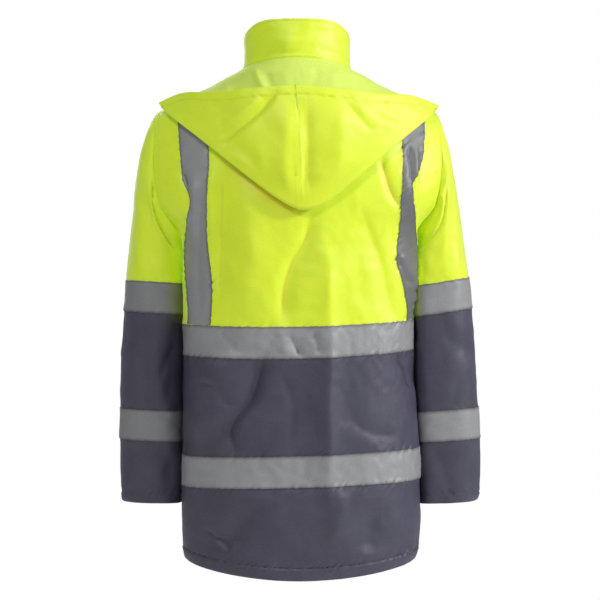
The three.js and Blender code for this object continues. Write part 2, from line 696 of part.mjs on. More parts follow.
function addCollar() {
  const [outer, inner] = [[], []];
  for (const row of COLLAR_ROWS) {
    const edge = HALF_TURN - zipEdge(between(COLLAR, COLLAR_COLUMNS, row).half);
    const [outRow, inRow] = [[], []];
    for (const turn of collarTurns(edge)) {
      const p = collar(row, turn);
      const n = row === 0 ? neckMitre(turn) : collarNormal(row, turn);
      outRow.push(p.clone());
      inRow.push(p.clone().addScaledVector(n, -COLLAR_CLOTH));
    }
    outer.push(outRow);
    inner.push(inRow);
  }
  addPiece("collar", wall(outer, inner), "yellow");
}

// Hood

// The pocket's lower fold and its free edge, at u from -1 at the right tip to 1 at the left one.
function hoodFold(u) {
  const side = u > 0 ? "left" : "right";
  const rounded = Math.sqrt(u * u + HOOD.bottomRound ** 2) - HOOD.bottomRound;
  const share = rounded / (Math.sqrt(1 + HOOD.bottomRound ** 2) - HOOD.bottomRound);
  const x = mix(HOOD.bottomX, HOOD.tipX[side], Math.abs(u));
  return onFace("back", x, mix(HOOD.bottomZ, HOOD.tipZ[side], share));
}

function lifted(place, turn, lift) {
  return form(place, turn).addScaledVector(formNormal(place, turn), lift);
}

const farLift = (u) => mix(HOOD.farLift, HOOD.farTipLift, u ** 4);

function hoodFar(u, f) {
  const fold = hoodFold(u);
  const place = mix(HOOD.neckStart, fold.place, f);
  const lift = mix(HOOD.seamLift, farLift(u), THREE.MathUtils.smoothstep(f, 0, HOOD.liftShare));
  return lifted(place, mix(HOOD.neckTurn * u, fold.turn, f), lift);
}

function hoodTurn(u, swing) {
  const fold = hoodFold(u);
  const p = lifted(fold.place, fold.turn, farLift(u));
  const n = formNormal(fold.place, fold.turn);
  const down = p.clone().sub(hoodFar(u, 0.97)); // from a little above the fold
  down.addScaledVector(n, -down.dot(n)).normalize();
  const r = mix(HOOD.foldRadius, HOOD.tipRadius, Math.abs(u) ** 3);
  return p.addScaledVector(n, r * (1 - Math.cos(swing))).addScaledVector(down, r * Math.sin(swing));
}

function hoodEdge(u) {
  const side = u > 0 ? "left" : "right";
  const near = Math.abs(u);
  const x = mix(HOOD.edgeX, HOOD.tipX[side] * HOOD.edgeReach, near);
  const level = HOOD.edgeZ - HOOD.edgeDrop[side] * near;
  const bend = near ** HOOD.tipBend;
  const { place, turn } = onFace("back", x, mix(level, HOOD.tipZ[side], bend));
  const n = formNormal(place, turn);
  n.setZ(n.z * bend).normalize();
  const edge = form(place, turn).addScaledVector(n, mix(HOOD.edgeLift, HOOD.tipLift, near * near));
  const tip = hoodTurn(Math.sign(u), Math.PI).add(new THREE.Vector3(...HOOD.tipCorner[side]));
  return edge.lerp(tip, THREE.MathUtils.smoothstep(near, HOOD.tipStart, 1));
}

function hoodNear(u, f) {
  const n = formNormal(hoodFold(u).place, hoodFold(u).turn);
  const swell = HOOD.bulge * Math.sin(Math.PI * f) * (1 - u * u);
  return hoodTurn(u, Math.PI).lerp(hoodEdge(u), f).addScaledVector(n, swell);
}

function addHood() {
  const middle = [];
  for (let r = 0; r <= HOOD.farRows; r++) middle.push((u) => hoodFar(u, r / HOOD.farRows));
  for (let r = 1; r <= HOOD.foldRows; r++) middle.push((u) => hoodTurn(u, (Math.PI * r) / (HOOD.foldRows + 1)));
  for (let r = 0; r <= HOOD.nearRows; r++) middle.push((u) => hoodNear(u, r / HOOD.nearRows));
  const grid = middle.map((row) =>
    Array.from({ length: HOOD.columns + 1 }, (_, c) => row(-1 + (2 * c) / HOOD.columns)),
  );
  const at = (r, c) => grid[THREE.MathUtils.clamp(r, 0, grid.length - 1)][c];
  const [outer, inner] = [[], []];
  grid.forEach((row, r) => {
    const normals = row.map((_, c) => {
      const before = Math.max(c - 1, 0);
      const after = Math.min(c + 1, HOOD.columns);
      const down = at(r + 1, c).clone().sub(at(r - 1, c));
      return down.cross(at(r, after).clone().sub(at(r, before))).normalize();
    });
    outer.push(row.map((p, c) => p.clone().addScaledVector(normals[c], HOOD_CLOTH / 2)));
    inner.push(row.map((p, c) => p.clone().addScaledVector(normals[c], -HOOD_CLOTH / 2)));
  });
  addPiece("hood", wall(outer, inner), "yellow");
}

// Zip

const ZIP_TURN = { body: 0.3, collar: 0.35 }; // where it leaves the front and joins the collar, in rows
const ZIP_END = 3.7; // collar rows up

// The centre front from the hem to near the collar's top, as points with their outward normals.
function zipSpine() {
  const body = Object.values(RING).filter((place) => place > ZIP_TURN.body).reverse();
  const spine = [...body, ZIP_TURN.body].map((place) => ({
    p: form(place, HALF_TURN),
    n: formNormal(place, HALF_TURN),
  }));
  for (const row of [ZIP_TURN.collar, 1, 2, 3, ZIP_END])
    spine.push({ p: collar(row, HALF_TURN), n: collarNormal(row, HALF_TURN) });
  return spine;
}

function zipStrip(half, low, high) {
  const rows = zipSpine().map(({ p, n }) =>
    [low, high].map((lift) =>
      [-half, half].map((x) => p.clone().addScaledVector(n, lift).add(new THREE.Vector3(x, 0, 0))),
    ),
  );
  return wall(rows.map((r) => r[1]), rows.map((r) => r[0]));
}

function rectangle(shape, x0, y0, x1, y1) {
  shape.moveTo(x0, y0);
  shape.lineTo(x1, y0);
  shape.lineTo(x1, y1);
  shape.lineTo(x0, y1);
  return shape.closePath();
}

function addZipStrips() {
  addPiece("zip_tape", zipStrip(ZIP_HALF - SEAM_GAP, ZIP_TAPE_LIFT - ZIP_TAPE_THICK, ZIP_TAPE_LIFT), "zip");
  addPiece("zip_chain", zipStrip(CHAIN_HALF, ZIP_TAPE_LIFT + SEAM_GAP, CHAIN_FACE), "zip");
}

const CHAIN_FACE = ZIP_TAPE_LIFT + SEAM_GAP + CHAIN_THICK;
const SLIDER_FACE = SLIDER.depth - SLIDER.channelDepth; // out from the chain's face

function sliderSeat() {
  const n = collarNormal(SLIDER.row, HALF_TURN);
  return collar(SLIDER.row, HALF_TURN).addScaledVector(n, CHAIN_FACE + SEAM_GAP);
}

// The slider: a channel over the chain, with a bridge that the tab's bar passes under
function addSlider() {
  const channel = new THREE.Shape();
  const [w, d] = [SLIDER.width / 2, SLIDER_FACE];
  channel.moveTo(-w, -SLIDER.channelDepth);
  channel.lineTo(-SLIDER.channel / 2, -SLIDER.channelDepth);
  channel.lineTo(-SLIDER.channel / 2, 0);
  channel.lineTo(SLIDER.channel / 2, 0);
  channel.lineTo(SLIDER.channel / 2, -SLIDER.channelDepth);
  channel.lineTo(w, -SLIDER.channelDepth);
  channel.lineTo(w, d - SLIDER.chamfer);
  channel.lineTo(w - SLIDER.chamfer, d);
  channel.lineTo(-w + SLIDER.chamfer, d);
  channel.lineTo(-w, d - SLIDER.chamfer);
  const body = new THREE.ExtrudeGeometry(channel, { depth: SLIDER.height, bevelEnabled: false });
  body.translate(0, 0, -SLIDER.height / 2);
  const arch = new THREE.Shape();
  const [end, shoulder] = [BRIDGE.span / 2, BRIDGE.height - BRIDGE.chamfer];
  arch.moveTo(-end, -BRIDGE.foot);
  arch.lineTo(end, -BRIDGE.foot);
  arch.lineTo(end, shoulder);
  arch.lineTo(end - BRIDGE.chamfer, BRIDGE.height);
  arch.lineTo(-end + BRIDGE.chamfer, BRIDGE.height);
  arch.lineTo(-end, shoulder);
  const hole = BRIDGE_HOLE.width / 2;
  arch.holes.push(rectangle(new THREE.Path(), -hole, BRIDGE_HOLE.floor, hole, BRIDGE_HOLE.top));
  const bridge = new THREE.ExtrudeGeometry(arch, { depth: BRIDGE.width, bevelEnabled: false });
  bridge.translate(0, 0, -BRIDGE.width / 2);
  bridge.rotateY(-Math.PI / 2); // its span now runs along the chain
  bridge.translate(0, d, 0);
  const slider = geometryOf(solidOf(body).add(solidOf(bridge)));
  slider.rotateZ(Math.PI); // its face now looks to the front
  addPiece("zip_slider", slider, "metal").position.copy(sliderSeat());
}

// The pull tab hangs from its top bar, which lies under the bridge
function addPullTab() {
  const outline = new THREE.Shape();
  const [w, top, foot] = [TAB.width / 2, TAB.bar / 2, TAB.bar / 2 - TAB.length];
  const [round, footRound] = [TAB_CORNERS.top, TAB_CORNERS.foot];
  outline.moveTo(-w + round, top);
  outline.lineTo(w - round, top);
  outline.quadraticCurveTo(w, top, w, top - round);
  outline.lineTo(w, foot + footRound);
  outline.quadraticCurveTo(w, foot, w - footRound, foot);
  outline.lineTo(-w + footRound, foot);
  outline.quadraticCurveTo(-w, foot, -w, foot + footRound);
  outline.lineTo(-w, top - round);
  outline.quadraticCurveTo(-w, top, -w + round, top);
  const window = TAB.window / 2;
  outline.holes.push(rectangle(new THREE.Path(), -window, -top - TAB.windowLength, window, -top));
  const tab = new THREE.ExtrudeGeometry(outline, { depth: TAB.thick, bevelEnabled: false, curveSegments: 4 });
  tab.translate(0, 0, -TAB.thick / 2);
  tab.rotateX(Math.PI / 2);
  const hang = new THREE.Vector3(0, -SLIDER_FACE - BRIDGE_HOLE.top / 2 - TAB.play, 0);
  addPiece("zip_pull_tab", tab, "metal").position.copy(sliderSeat()).add(hang);
}

addBodyPanels();
addBodyTapes();
addBraces();
addSleeves();
addCollar();
addHood();
addZipStrips();
addSlider();
addPullTab();

export default jacket;
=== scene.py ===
import math

import bpy
import numpy as np
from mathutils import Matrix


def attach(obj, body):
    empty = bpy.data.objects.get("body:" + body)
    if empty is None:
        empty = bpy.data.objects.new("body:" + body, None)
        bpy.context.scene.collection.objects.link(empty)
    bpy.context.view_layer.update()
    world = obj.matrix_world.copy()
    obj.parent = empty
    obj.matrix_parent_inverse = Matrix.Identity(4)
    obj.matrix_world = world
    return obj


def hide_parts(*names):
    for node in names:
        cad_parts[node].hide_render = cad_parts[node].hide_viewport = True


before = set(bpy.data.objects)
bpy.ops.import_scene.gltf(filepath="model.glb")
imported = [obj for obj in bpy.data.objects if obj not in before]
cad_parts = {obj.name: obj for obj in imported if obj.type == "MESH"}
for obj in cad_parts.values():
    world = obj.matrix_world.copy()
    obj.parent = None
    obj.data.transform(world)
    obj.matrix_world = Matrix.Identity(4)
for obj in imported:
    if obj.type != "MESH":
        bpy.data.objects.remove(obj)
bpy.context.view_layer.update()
bpy.ops.object.select_all(action="DESELECT")
scene = bpy.context.scene

# The studio: a level camera square to the back of the jacket, a white surround, a soft light that rakes
# the back from the camera's right, a weaker one above the camera and one in front, over a pale floor.
CAMERA_AWAY, CAMERA_HEIGHT, PHOTO_LENS = 3.6, -0.3714, 132.72
JACKET_MIDDLE = (0, 0, -0.36)
FLOOR_HEIGHT, FLOOR_SIZE, FLOOR_COLOR = -1.45, 6.4, (0.86, 0.86, 0.85, 1)


def add_object(name, data):
    thing = bpy.data.objects.new(name, data)
    scene.collection.objects.link(thing)
    return thing


def soft_light(name, place, power, size):
    """A square light that faces the jacket."""
    data = bpy.data.lights.new(name, "AREA")
    data.energy, data.size = power, size
    light = add_object(name, data)
    light.location = place
    towards = np.array(JACKET_MIDDLE) - np.array(place)
    across = math.hypot(towards[0], towards[1])
    light.rotation_euler = (math.atan2(across, -towards[2]), 0, math.atan2(-towards[0], towards[1]))


def add_node(tree, kind, **values):
    """A shader node in a tree, with values for its inputs by name."""
    node = tree.nodes.new("ShaderNode" + kind)
    for name, value in values.items():
        node.inputs[name].default_value = value
    return node


def new_paint(name, even):
    """A material with even values on its shader's inputs, its node tree and its shader."""
    paint = bpy.data.materials.new(name)
    paint.use_nodes = True
    shader = paint.node_tree.nodes["Principled BSDF"]
    for key, value in even.items():
        shader.inputs[key].default_value = value
    return paint, paint.node_tree, shader


camera_data = bpy.data.cameras.new("camera")
camera_data.lens = PHOTO_LENS
camera_data.sensor_width = 36
camera = add_object("camera", camera_data)
camera.location = (0, CAMERA_AWAY, CAMERA_HEIGHT)
camera.rotation_euler = (math.radians(90), 0, math.radians(180))
scene.camera = camera
scene.view_settings.view_transform = "Standard"

soft_light("key", (-3.1, 1.3, 1.2), 103, 0.5)
soft_light("back_light", (0.9, 3.3, 2.4), 59, 0.9)
soft_light("front_light", (0.8, -3.2, 0.8), 40, 2.0)

world = bpy.data.worlds.new("studio")
scene.world = world
world.use_nodes = True
sky = world.node_tree
sky.nodes.clear()
seen = add_node(sky, "Background", Color=(1, 1, 1, 1))
lit = add_node(sky, "Background", Color=(0.95, 0.97, 1, 1), Strength=0.34)
choose = add_node(sky, "MixShader")
sky.links.new(add_node(sky, "LightPath").outputs["Is Camera Ray"], choose.inputs["Fac"])
sky.links.new(lit.outputs[0], choose.inputs[1])
sky.links.new(seen.outputs[0], choose.inputs[2])
sky.links.new(choose.outputs[0], add_node(sky, "OutputWorld").inputs[0])

bpy.ops.mesh.primitive_plane_add(size=FLOOR_SIZE, location=(0, 0, FLOOR_HEIGHT))
floor = bpy.context.object
floor.name = "floor"
floor.data.materials.append(new_paint("floor", {"Base Color": FLOOR_COLOR, "Roughness": 0.9})[0])

# The body's form, in millimetres: rings from the neck seam down to the hem, each with its heights at
# the side, back and front, its rise, half width, depths, where its sides are, its lean and squareness.
MM = 0.001
RINGS = {
    "neckSeam": [0, 14, -46, 0, 88.5, 84, -73, 6, 5, 2.0],
    "neckSlope": [-20, -8, -66, 0, 114, 99, -93, 4, 5, 1.95],
    "midShoulder": [-45, -36, -94, 0, 162, 112, -112, 0, 5, 1.9],
    "shoulderPoint": [-69, -67, -123, 0, 228, 124, -130, -4, 5, 1.9],
    "upperArmhole": [-112, -110, -158, 0, 250, 134, -141, -2, 4, 2.0],
    "midArmhole": [-165, -160, -195, 0, 254, 142, -147, 2, 4, 2.15],
    "lowArmhole": [-220, -216, -235, 2, 234, 148, -150, 10, 3, 2.3],
    "armpit": [-268, -268, -272, 3, 190, 151, -150, 22, 3, 2.35],
    "chest": [-335, -337, -337, 5, 186, 153, -149, 25, 3, 2.35],
    "waistBandTop": [-406, -413, -410, 7, 186, 153, -148, 25, 3, 2.35],
    "waistBandFoot": [-455, -463, -460, 9, 185, 152, -147, 25, 2, 2.35],
    "belly": [-536, -539, -538, 11, 187, 151, -147, 25, 0, 2.35],
    "hemBandTop": [-613, -615, -613, 13, 190, 151, -148, 24, -2, 2.35],
    "hemBandFoot": [-663, -665, -663, 12, 191, 151, -149, 24, -2, 2.35],
    "skirt": [-718, -732, -720, 8, 192.5, 151, -149, 22, -2, 2.3],
    "hemStitch": [-768, -791, -770, 2, 190, 148, -147, 20, -1, 2.3],
    "hem": [-786, -811, -790, 0, 186, 146, -144, 20, 0, 2.3],
}
RING = {name: i for i, name in enumerate(RINGS)}

HALF_WIDTH, SIDE_DEPTH, LEAN = 4, 7, 8
NEAR_ROW, NEAR_TURN = 0.01, 0.4


def smooth(value, low, high):
    t = np.clip((value - low) / (high - low), 0, 1)
    return t * t * (3 - 2 * t)


def mix(a, b, t):
    return a + (b - a) * t


def sine(degrees):
    return np.sin(np.radians(degrees))


def cosine(degrees):
    return np.cos(np.radians(degrees))


def unit(v):
    return v / np.maximum(np.linalg.norm(v, axis=-1, keepdims=True), 1e-9)


def as_arrays(*values):
    return np.broadcast_arrays(*[np.asarray(value, float) for value in values])


def between(table, place):
    """A table's values at places between its rows, smooth through each row."""
    rows = np.array(list(table.values()), float)
    at = np.clip(np.asarray(place, float), 0, len(rows) - 1)
    i = np.minimum(np.floor(at).astype(int), len(rows) - 2)
    f = (at - i)[..., None]
    a, b = rows[i], rows[i + 1]
    before, after = rows[np.maximum(i - 1, 0)], rows[np.minimum(i + 2, len(rows) - 1)]
    value = a * (2 * f**3 - 3 * f**2 + 1) + b * (3 * f**2 - 2 * f**3)
    value = value + (b - before) / 2 * (f**3 - 2 * f**2 + f) + (after - a) / 2 * (f**3 - f**2)
    return np.moveaxis(value, -1, 0)


def plain_form(place, turn):
    """The form without folds. turn is in degrees from the centre back to the wearer's left."""
    place, turn = as_arrays(place, turn)
    z_side, z_back, z_front, rise, half, back, front, side_y, lean, power = between(RINGS, place)
    s, c = sine(turn), cosine(turn)
    reach = (np.abs(s) ** power + np.abs(c) ** power) ** (-1 / power)
    depth = np.where(c > 0, back - side_y, side_y - front)
    centre_z = np.where(c > 0, z_back, z_front)
    z = mix(z_side, centre_z, c * c) - rise / 2 * s
    return np.stack([lean + half * s * reach, side_y + depth * c * reach, z], -1)


def normal_of(surface, row, turn, sign):
    along_rows = surface(row + NEAR_ROW, turn) - surface(row - NEAR_ROW, turn)
    along_turn = surface(row, turn + NEAR_TURN) - surface(row, turn - NEAR_TURN)
    return unit(np.cross(along_rows, along_turn) * sign)


# Folds of the body cloth, by face: width, depth (a trough is negative), skew (above 0, its slope towards
# the wearer's left is the longer one), roundness of its crest, and the points x, z that it passes through.
FOLDS = {
    "back": [
        [14, -5.0, -0.3, 0.35, (-17, -237), (-9, -277), (11, -312), (25, -355), (27, -402)],
        [21, 5.5, 0.2, 0.2, (-34, -277), (-44, -312), (-45, -371), (-47, -464), (-45, -527), (-47, -605),
         (-46, -683)],
        [20, 3.0, 0, 0.4, (-58, -664), (-58, -706), (-52, -753)],
        [22, -6.5, 0.45, 0.2, (57, -455), (68, -503), (78, -527), (98, -552), (112, -578), (106, -605)],
        [34, 6.0, -0.4, 0.5, (140, -452), (144, -510), (150, -550), (158, -590)],
        [13, -5.0, -0.2, 0.4, (122, -165), (123, -215), (126, -277), (128, -312), (128, -371)],
        [26, 3.5, 0, 0.8, (90, -176), (78, -238), (75, -308), (78, -386)],
        [7, 1.5, 0, 0.5, (137, -168), (139, -215), (140, -277)],
        [6, -4.0, 0, 0.2, (-129, -152), (-136, -177), (-143, -199), (-154, -224)],
        [13, 5.0, 0.7, 0.4, (-184, -130), (-180, -200), (-181, -300), (-178, -390)],
        [12, -3.0, 0.3, 0.5, (-97, -233), (-111, -268), (-125, -302), (-137, -355), (-150, -402)],
        [14, -1.5, 0, 0.6, (-90, -277), (-94, -340), (-103, -386)],
        [7, -3.5, 0, 0.3, (-159, -455), (-165, -471), (-175, -486), (-178, -511)],
        [3.5, -1.2, 0, 0.3, (151, -734), (133, -747), (112, -762)],
        [3, -0.9, 0, 0.3, (131, -745), (118, -752), (109, -760)],
        [18, -3.0, 0, 0.8, (70, -690), (96, -725), (118, -760)],
        [18, -2.5, 0, 0.8, (-120, -690), (-112, -730), (-108, -765)],
        [6, -2.0, 0, 0.4, (16, -425), (5, -449), (0, -460)],
        [7, 1.2, 0, 0.5, (30, -420), (24, -440), (20, -458)],
        [6, -1.4, 0, 0.4, (-22, -418), (-27, -436), (-30, -456)],
        [6, -1.2, 0, 0.4, (128, -418), (118, -432), (100, -444)],
        [5, -3.5, 0.2, 0.3, (187, -165), (179, -187), (175, -209), (172, -234)],
        [8, 2.0, 0, 0.5, (167, -180), (168, -222), (167, -277)],
        [6, -1.8, 0, 0.4, (153, -196), (158, -250), (160, -330), (158, -390)],
        [4, -3.0, 0, 0.25, (-172, -130), (-173, -156), (-173, -188)],
        [5, -2.2, 0, 0.3, (-151, -303), (-161, -327), (-170, -348)],
        [5, 1.6, 0, 0.3, (-158, -300), (-166, -322), (-172, -340)],
        [30, -2.0, 0, 0.9, (110, -640), (20, -655), (-90, -640)],
        [9, -1.6, 0, 0.4, (150, -498), (128, -512), (110, -540)],
        [9, -1.2, 0, 0.5, (-80, -560), (-112, -580), (-150, -585)],
        [8, -1.0, 0, 0.5, (30, -480), (12, -540), (16, -600)],
    ],
    "front": [
        [16, -5.0, 0.2, 0.4, (120, -230), (112, -300), (92, -390)],
        [15, -5.0, -0.2, 0.4, (-116, -225), (-110, -310), (-96, -380)],
        [18, -5.0, 0.3, 0.3, (96, -470), (84, -530), (62, -610)],
        [18, -6.0, -0.3, 0.3, (-104, -475), (-88, -540), (-60, -600)],
        [24, 4.0, 0, 0.6, (80, -670), (84, -730), (88, -780)],
        [24, 4.0, 0, 0.6, (-86, -670), (-82, -730), (-78, -780)],
        [8, -2.5, 0, 0.3, (132, -175), (128, -240), (118, -320)],
        [8, -2.5, 0, 0.3, (-130, -180), (-126, -250), (-120, -325)],
        [20, 3.0, 0, 0.5, (52, -200), (44, -300), (34, -390)],
        [20, 3.0, 0, 0.5, (-48, -190), (-44, -290), (-30, -390)],
        [7, -2.2, 0, 0.3, (118, -466), (96, -500), (74, -540)],
        [8, -2.4, 0, 0.3, (-124, -470), (-96, -520), (-66, -560)],
        [9, -1.6, 0, 0.4, (40, -520), (32, -570), (24, -610)],
        [9, -1.4, 0, 0.4, (-36, -500), (-30, -560), (-28, -600)],
        [7, -2.0, 0, 0.4, (150, -500), (162, -530), (172, -560)],
        [7, -2.0, 0, 0.4, (-150, -505), (-160, -530), (-172, -555)],
        [10, -1.6, 0, 0.5, (120, -700), (108, -740), (100, -780)],
        [10, -1.6, 0, 0.5, (-116, -705), (-108, -745), (-104, -778)],
    ],
}


def curve(at, where, value):
    """A smooth curve through a few points, and its slope."""
    slope = np.gradient(value, where)
    i = np.clip(np.searchsorted(where, at) - 1, 0, len(where) - 2)
    wide = where[i + 1] - where[i]
    f = np.clip((at - where[i]) / wide, 0, 1)
    a, b, m, n = value[i], value[i + 1], slope[i] * wide, slope[i + 1] * wide
    height = a + f * m + f * f * (3 * (b - a) - 2 * m - n) + f**3 * (2 * (a - b) + m + n)
    return height, (m + 2 * f * (3 * (b - a) - 2 * m - n) + 3 * f * f * (2 * (a - b) + m + n)) / wide


def fold_shape(fold, x, z):
    """How far a place is into a fold: 1 on its line, 0 away from it and past its ends."""
    width, _, skew, crest, *line = fold
    line = np.array(line, float)
    upright = abs(line[-1, 1] - line[0, 1]) >= abs(line[-1, 0] - line[0, 0])
    along, across = (z, x) if upright else (x, z)
    where, value = (line[:, 1], line[:, 0]) if upright else (line[:, 0], line[:, 1])
    order = np.argsort(where)
    where, value = where[order], value[order]
    centre, slope = curve(along, where, value)
    off = (across - centre) / np.sqrt(1 + slope * slope)
    off = off / (width * np.where(off > 0, 1 + skew, 1 - skew))
    reach = where[-1] - where[0]
    fade = smooth(along, where[0] - 0.12 * reach, where[0] + 0.2 * reach)
    fade = fade * (1 - smooth(along, where[-1] - 0.2 * reach, where[-1] + 0.12 * reach))
    return np.exp(crest - np.sqrt(off * off + crest * crest)) * np.exp(-((off / 2.2) ** 2)) * fade


def fold_move(folds, x, z, deeper=1.0):
    return deeper * sum(fold[1] * fold_shape(fold, x, z) for fold in folds)


NOISE_GRID, NOISE_START = 64, 300


def soft_noise(u, v, size, seed):
    """Smooth random waves from -1 to 1 with hills about size across."""
    grid = np.random.RandomState(seed).uniform(-1, 1, (NOISE_GRID, NOISE_GRID))
    a, b = np.asarray(u) / size + NOISE_START, np.asarray(v) / size + NOISE_START
    i, j = np.floor(a).astype(int), np.floor(b).astype(int)
    f, g = a - i, b - j
    f, g = f * f * (3 - 2 * f), g * g * (3 - 2 * g)
    i, j = i % NOISE_GRID, j % NOISE_GRID
    k, m = (i + 1) % NOISE_GRID, (j + 1) % NOISE_GRID
    return mix(mix(grid[i, j], grid[k, j], f), mix(grid[i, m], grid[k, m], f), g)


GATHER_SIZE, GATHER_RUN = 3.7, 45


def pucker(along, away, seed, reach=7.5, height=1.6):
    """Small slanted gathers across a line of stitches, uneven along it and faded away from it."""
    ripple = soft_noise(along + 0.9 * away, away * 0.25, GATHER_SIZE, seed)
    uneven = 0.75 + 0.4 * soft_noise(along, away * 0, GATHER_RUN, seed + 1)
    return height * ripple * uneven * np.exp(-((away / reach) ** 2))


BRACE_EDGES = {
    "left": {
        "inner": [(0, 145), (-124, 143.5), (-160, 142.7), (-191, 144.3), (-223, 145.9), (-270, 146.6), (-296, 145),
                  (-321, 142), (-347, 139.6), (-371, 138.8), (-407, 139.6)],
        "outer": [(0, 197), (-89, 193.4), (-137, 190.3), (-181, 187.2), (-199, 179.4), (-212, 174), (-230, 176.3),
                  (-254, 181), (-285, 184), (-324, 184), (-355, 180.2), (-379, 178.6), (-407, 178.6)],
    },
    "right": {
        "inner": [(0, -160), (-127, -162), (-168, -160.7), (-215, -157.6), (-246, -156), (-293, -150.5),
                  (-305, -150.5), (-332, -156), (-358, -162), (-379, -167), (-405, -170)],
        "outer": [(0, -203), (-115, -198), (-143, -195.8), (-165, -188.8), (-181, -178), (-190, -174), (-215, -175.5),
                  (-238, -178), (-293, -180), (-371, -180), (-405, -180)],
    },
}
MM_PER_TURN = 3.0
STITCHED_RINGS = ["waistBandTop", "waistBandFoot", "hemBandTop", "hemBandFoot", "hemStitch"]


def brace_edge(side, edge, z):
    table = np.array(BRACE_EDGES[side][edge], float)[::-1]
    return np.interp(z, table[:, 0], table[:, 1])


SEAM_GAP = 0.3
ARMHOLE_MIDDLE, ARMHOLE_REACH, ARMHOLE_CUT = 5.0, 2.0, 27.0
ARMHOLE_STITCH = 12.0


def armhole_at(swing):
    """The ring place, and the degrees cut from the body's side, at a swing round the armhole from its top."""
    return ARMHOLE_MIDDLE - ARMHOLE_REACH * cosine(swing), ARMHOLE_CUT * sine(swing)


def side_edge(place):
    """How many degrees before the side a panel ends: at the side seam, or at the armhole's edge."""
    swing = np.degrees(np.arccos(np.clip((ARMHOLE_MIDDLE - place) / ARMHOLE_REACH, -1, 1)))
    gap = np.degrees(np.arcsin(SEAM_GAP / 2 / between(RINGS, place)[HALF_WIDTH]))
    return np.maximum(ARMHOLE_CUT * sine(swing), gap)


YOKE_DEPTH, SKIRT_DEPTH, FRONT_DEPTH = 1.6, 2.3, 1.2
TAPE_MIDDLES, TAPE_HALF = (9.5, 12.5), 24


def body_wrinkles(place, turn, p):
    """Folds, gathers at the stitches and small waves, the most of them on the tapes, as a height."""
    x, y, z = np.moveaxis(p, -1, 0)
    back = cosine(turn) > 0
    deeper = mix(YOKE_DEPTH, SKIRT_DEPTH, smooth(-z, 440, 480))
    back_move, front_move = fold_move(FOLDS["back"], x, z, deeper), fold_move(FOLDS["front"], x, z, FRONT_DEPTH)
    move = np.where(back, back_move, front_move) * smooth(place, 0.8, 2.5)
    move += 1.2 * soft_noise(x, z * 0.7, 34, 11) + 0.45 * soft_noise(x + y, z, 13, 12)
    for k, name in enumerate(STITCHED_RINGS):
        seam_z = plain_form(RING[name], turn)[..., 2]
        move += pucker(turn * MM_PER_TURN, z - seam_z, 20 + 3 * k)
    for middle in TAPE_MIDDLES:
        from_middle = z - plain_form(middle, turn)[..., 2]
        move += 0.8 * soft_noise(x + y, z, 11, 40) * np.exp(-((from_middle / TAPE_HALF) ** 4))
    for k, side in enumerate(BRACE_EDGES):
        for m, edge in enumerate(("inner", "outer")):
            move += pucker(z, x - brace_edge(side, edge, z), 50 + 5 * k + m) * smooth(z, -412, -395)
    from_armhole = (90 - side_edge(place) - np.where(back, np.abs(turn), 180 - np.abs(turn))) * MM_PER_TURN
    at_armhole = smooth(place, 2.9, 3.4) * (1 - smooth(place, 6.6, 7.0))
    move += pucker(z, from_armhole - ARMHOLE_STITCH, 70, 8.0, 0.9) * at_armhole * smooth(from_armhole, 0, 3)
    return move


def form(place, turn):
    """The body's outer face."""
    place, turn = as_arrays(place, turn)
    p = plain_form(place, turn)
    n = normal_of(plain_form, place, turn, -1)
    return p + n * body_wrinkles(place, turn, p)[..., None]


def form_normal(place, turn):
    return normal_of(form, place, turn, -1)


# Cloth pieces are closed shells between an outer face and an inner one, in place of their solids. Their
# UV map is the cloth laid flat, in metres, so that the weave keeps its scale over the whole jacket.
# Painted shade in the cloth's narrow creases: the most of it, and the crease depths in mm where it starts and is
# full.
PAINTED_SHADE_MOST, PAINTED_SHADE_FROM, PAINTED_SHADE_FULL = 0.8, 0.6, 2.4
SHARP_ANGLE = 50


def crease_shade_amount(outer, inner, tube):
    """How far each place lies in a narrow crease, as painted shade from 0 on open cloth up to the most of it."""
    out = unit(outer - inner)
    deep = np.zeros(outer.shape[:2])
    for reach in (1, 2):
        down = np.zeros_like(outer)
        down[reach:-reach] = (outer[2 * reach:] + outer[: -2 * reach]) / 2 - outer[reach:-reach]
        across = (np.roll(outer, reach, 1) + np.roll(outer, -reach, 1)) / 2 - outer
        if not tube:
            across[:, :reach], across[:, -reach:] = 0, 0
        for bend in (down, across):
            deep = np.maximum(deep, np.sum(bend * out, -1))
    return PAINTED_SHADE_MOST * smooth(deep, PAINTED_SHADE_FROM, PAINTED_SHADE_FULL)


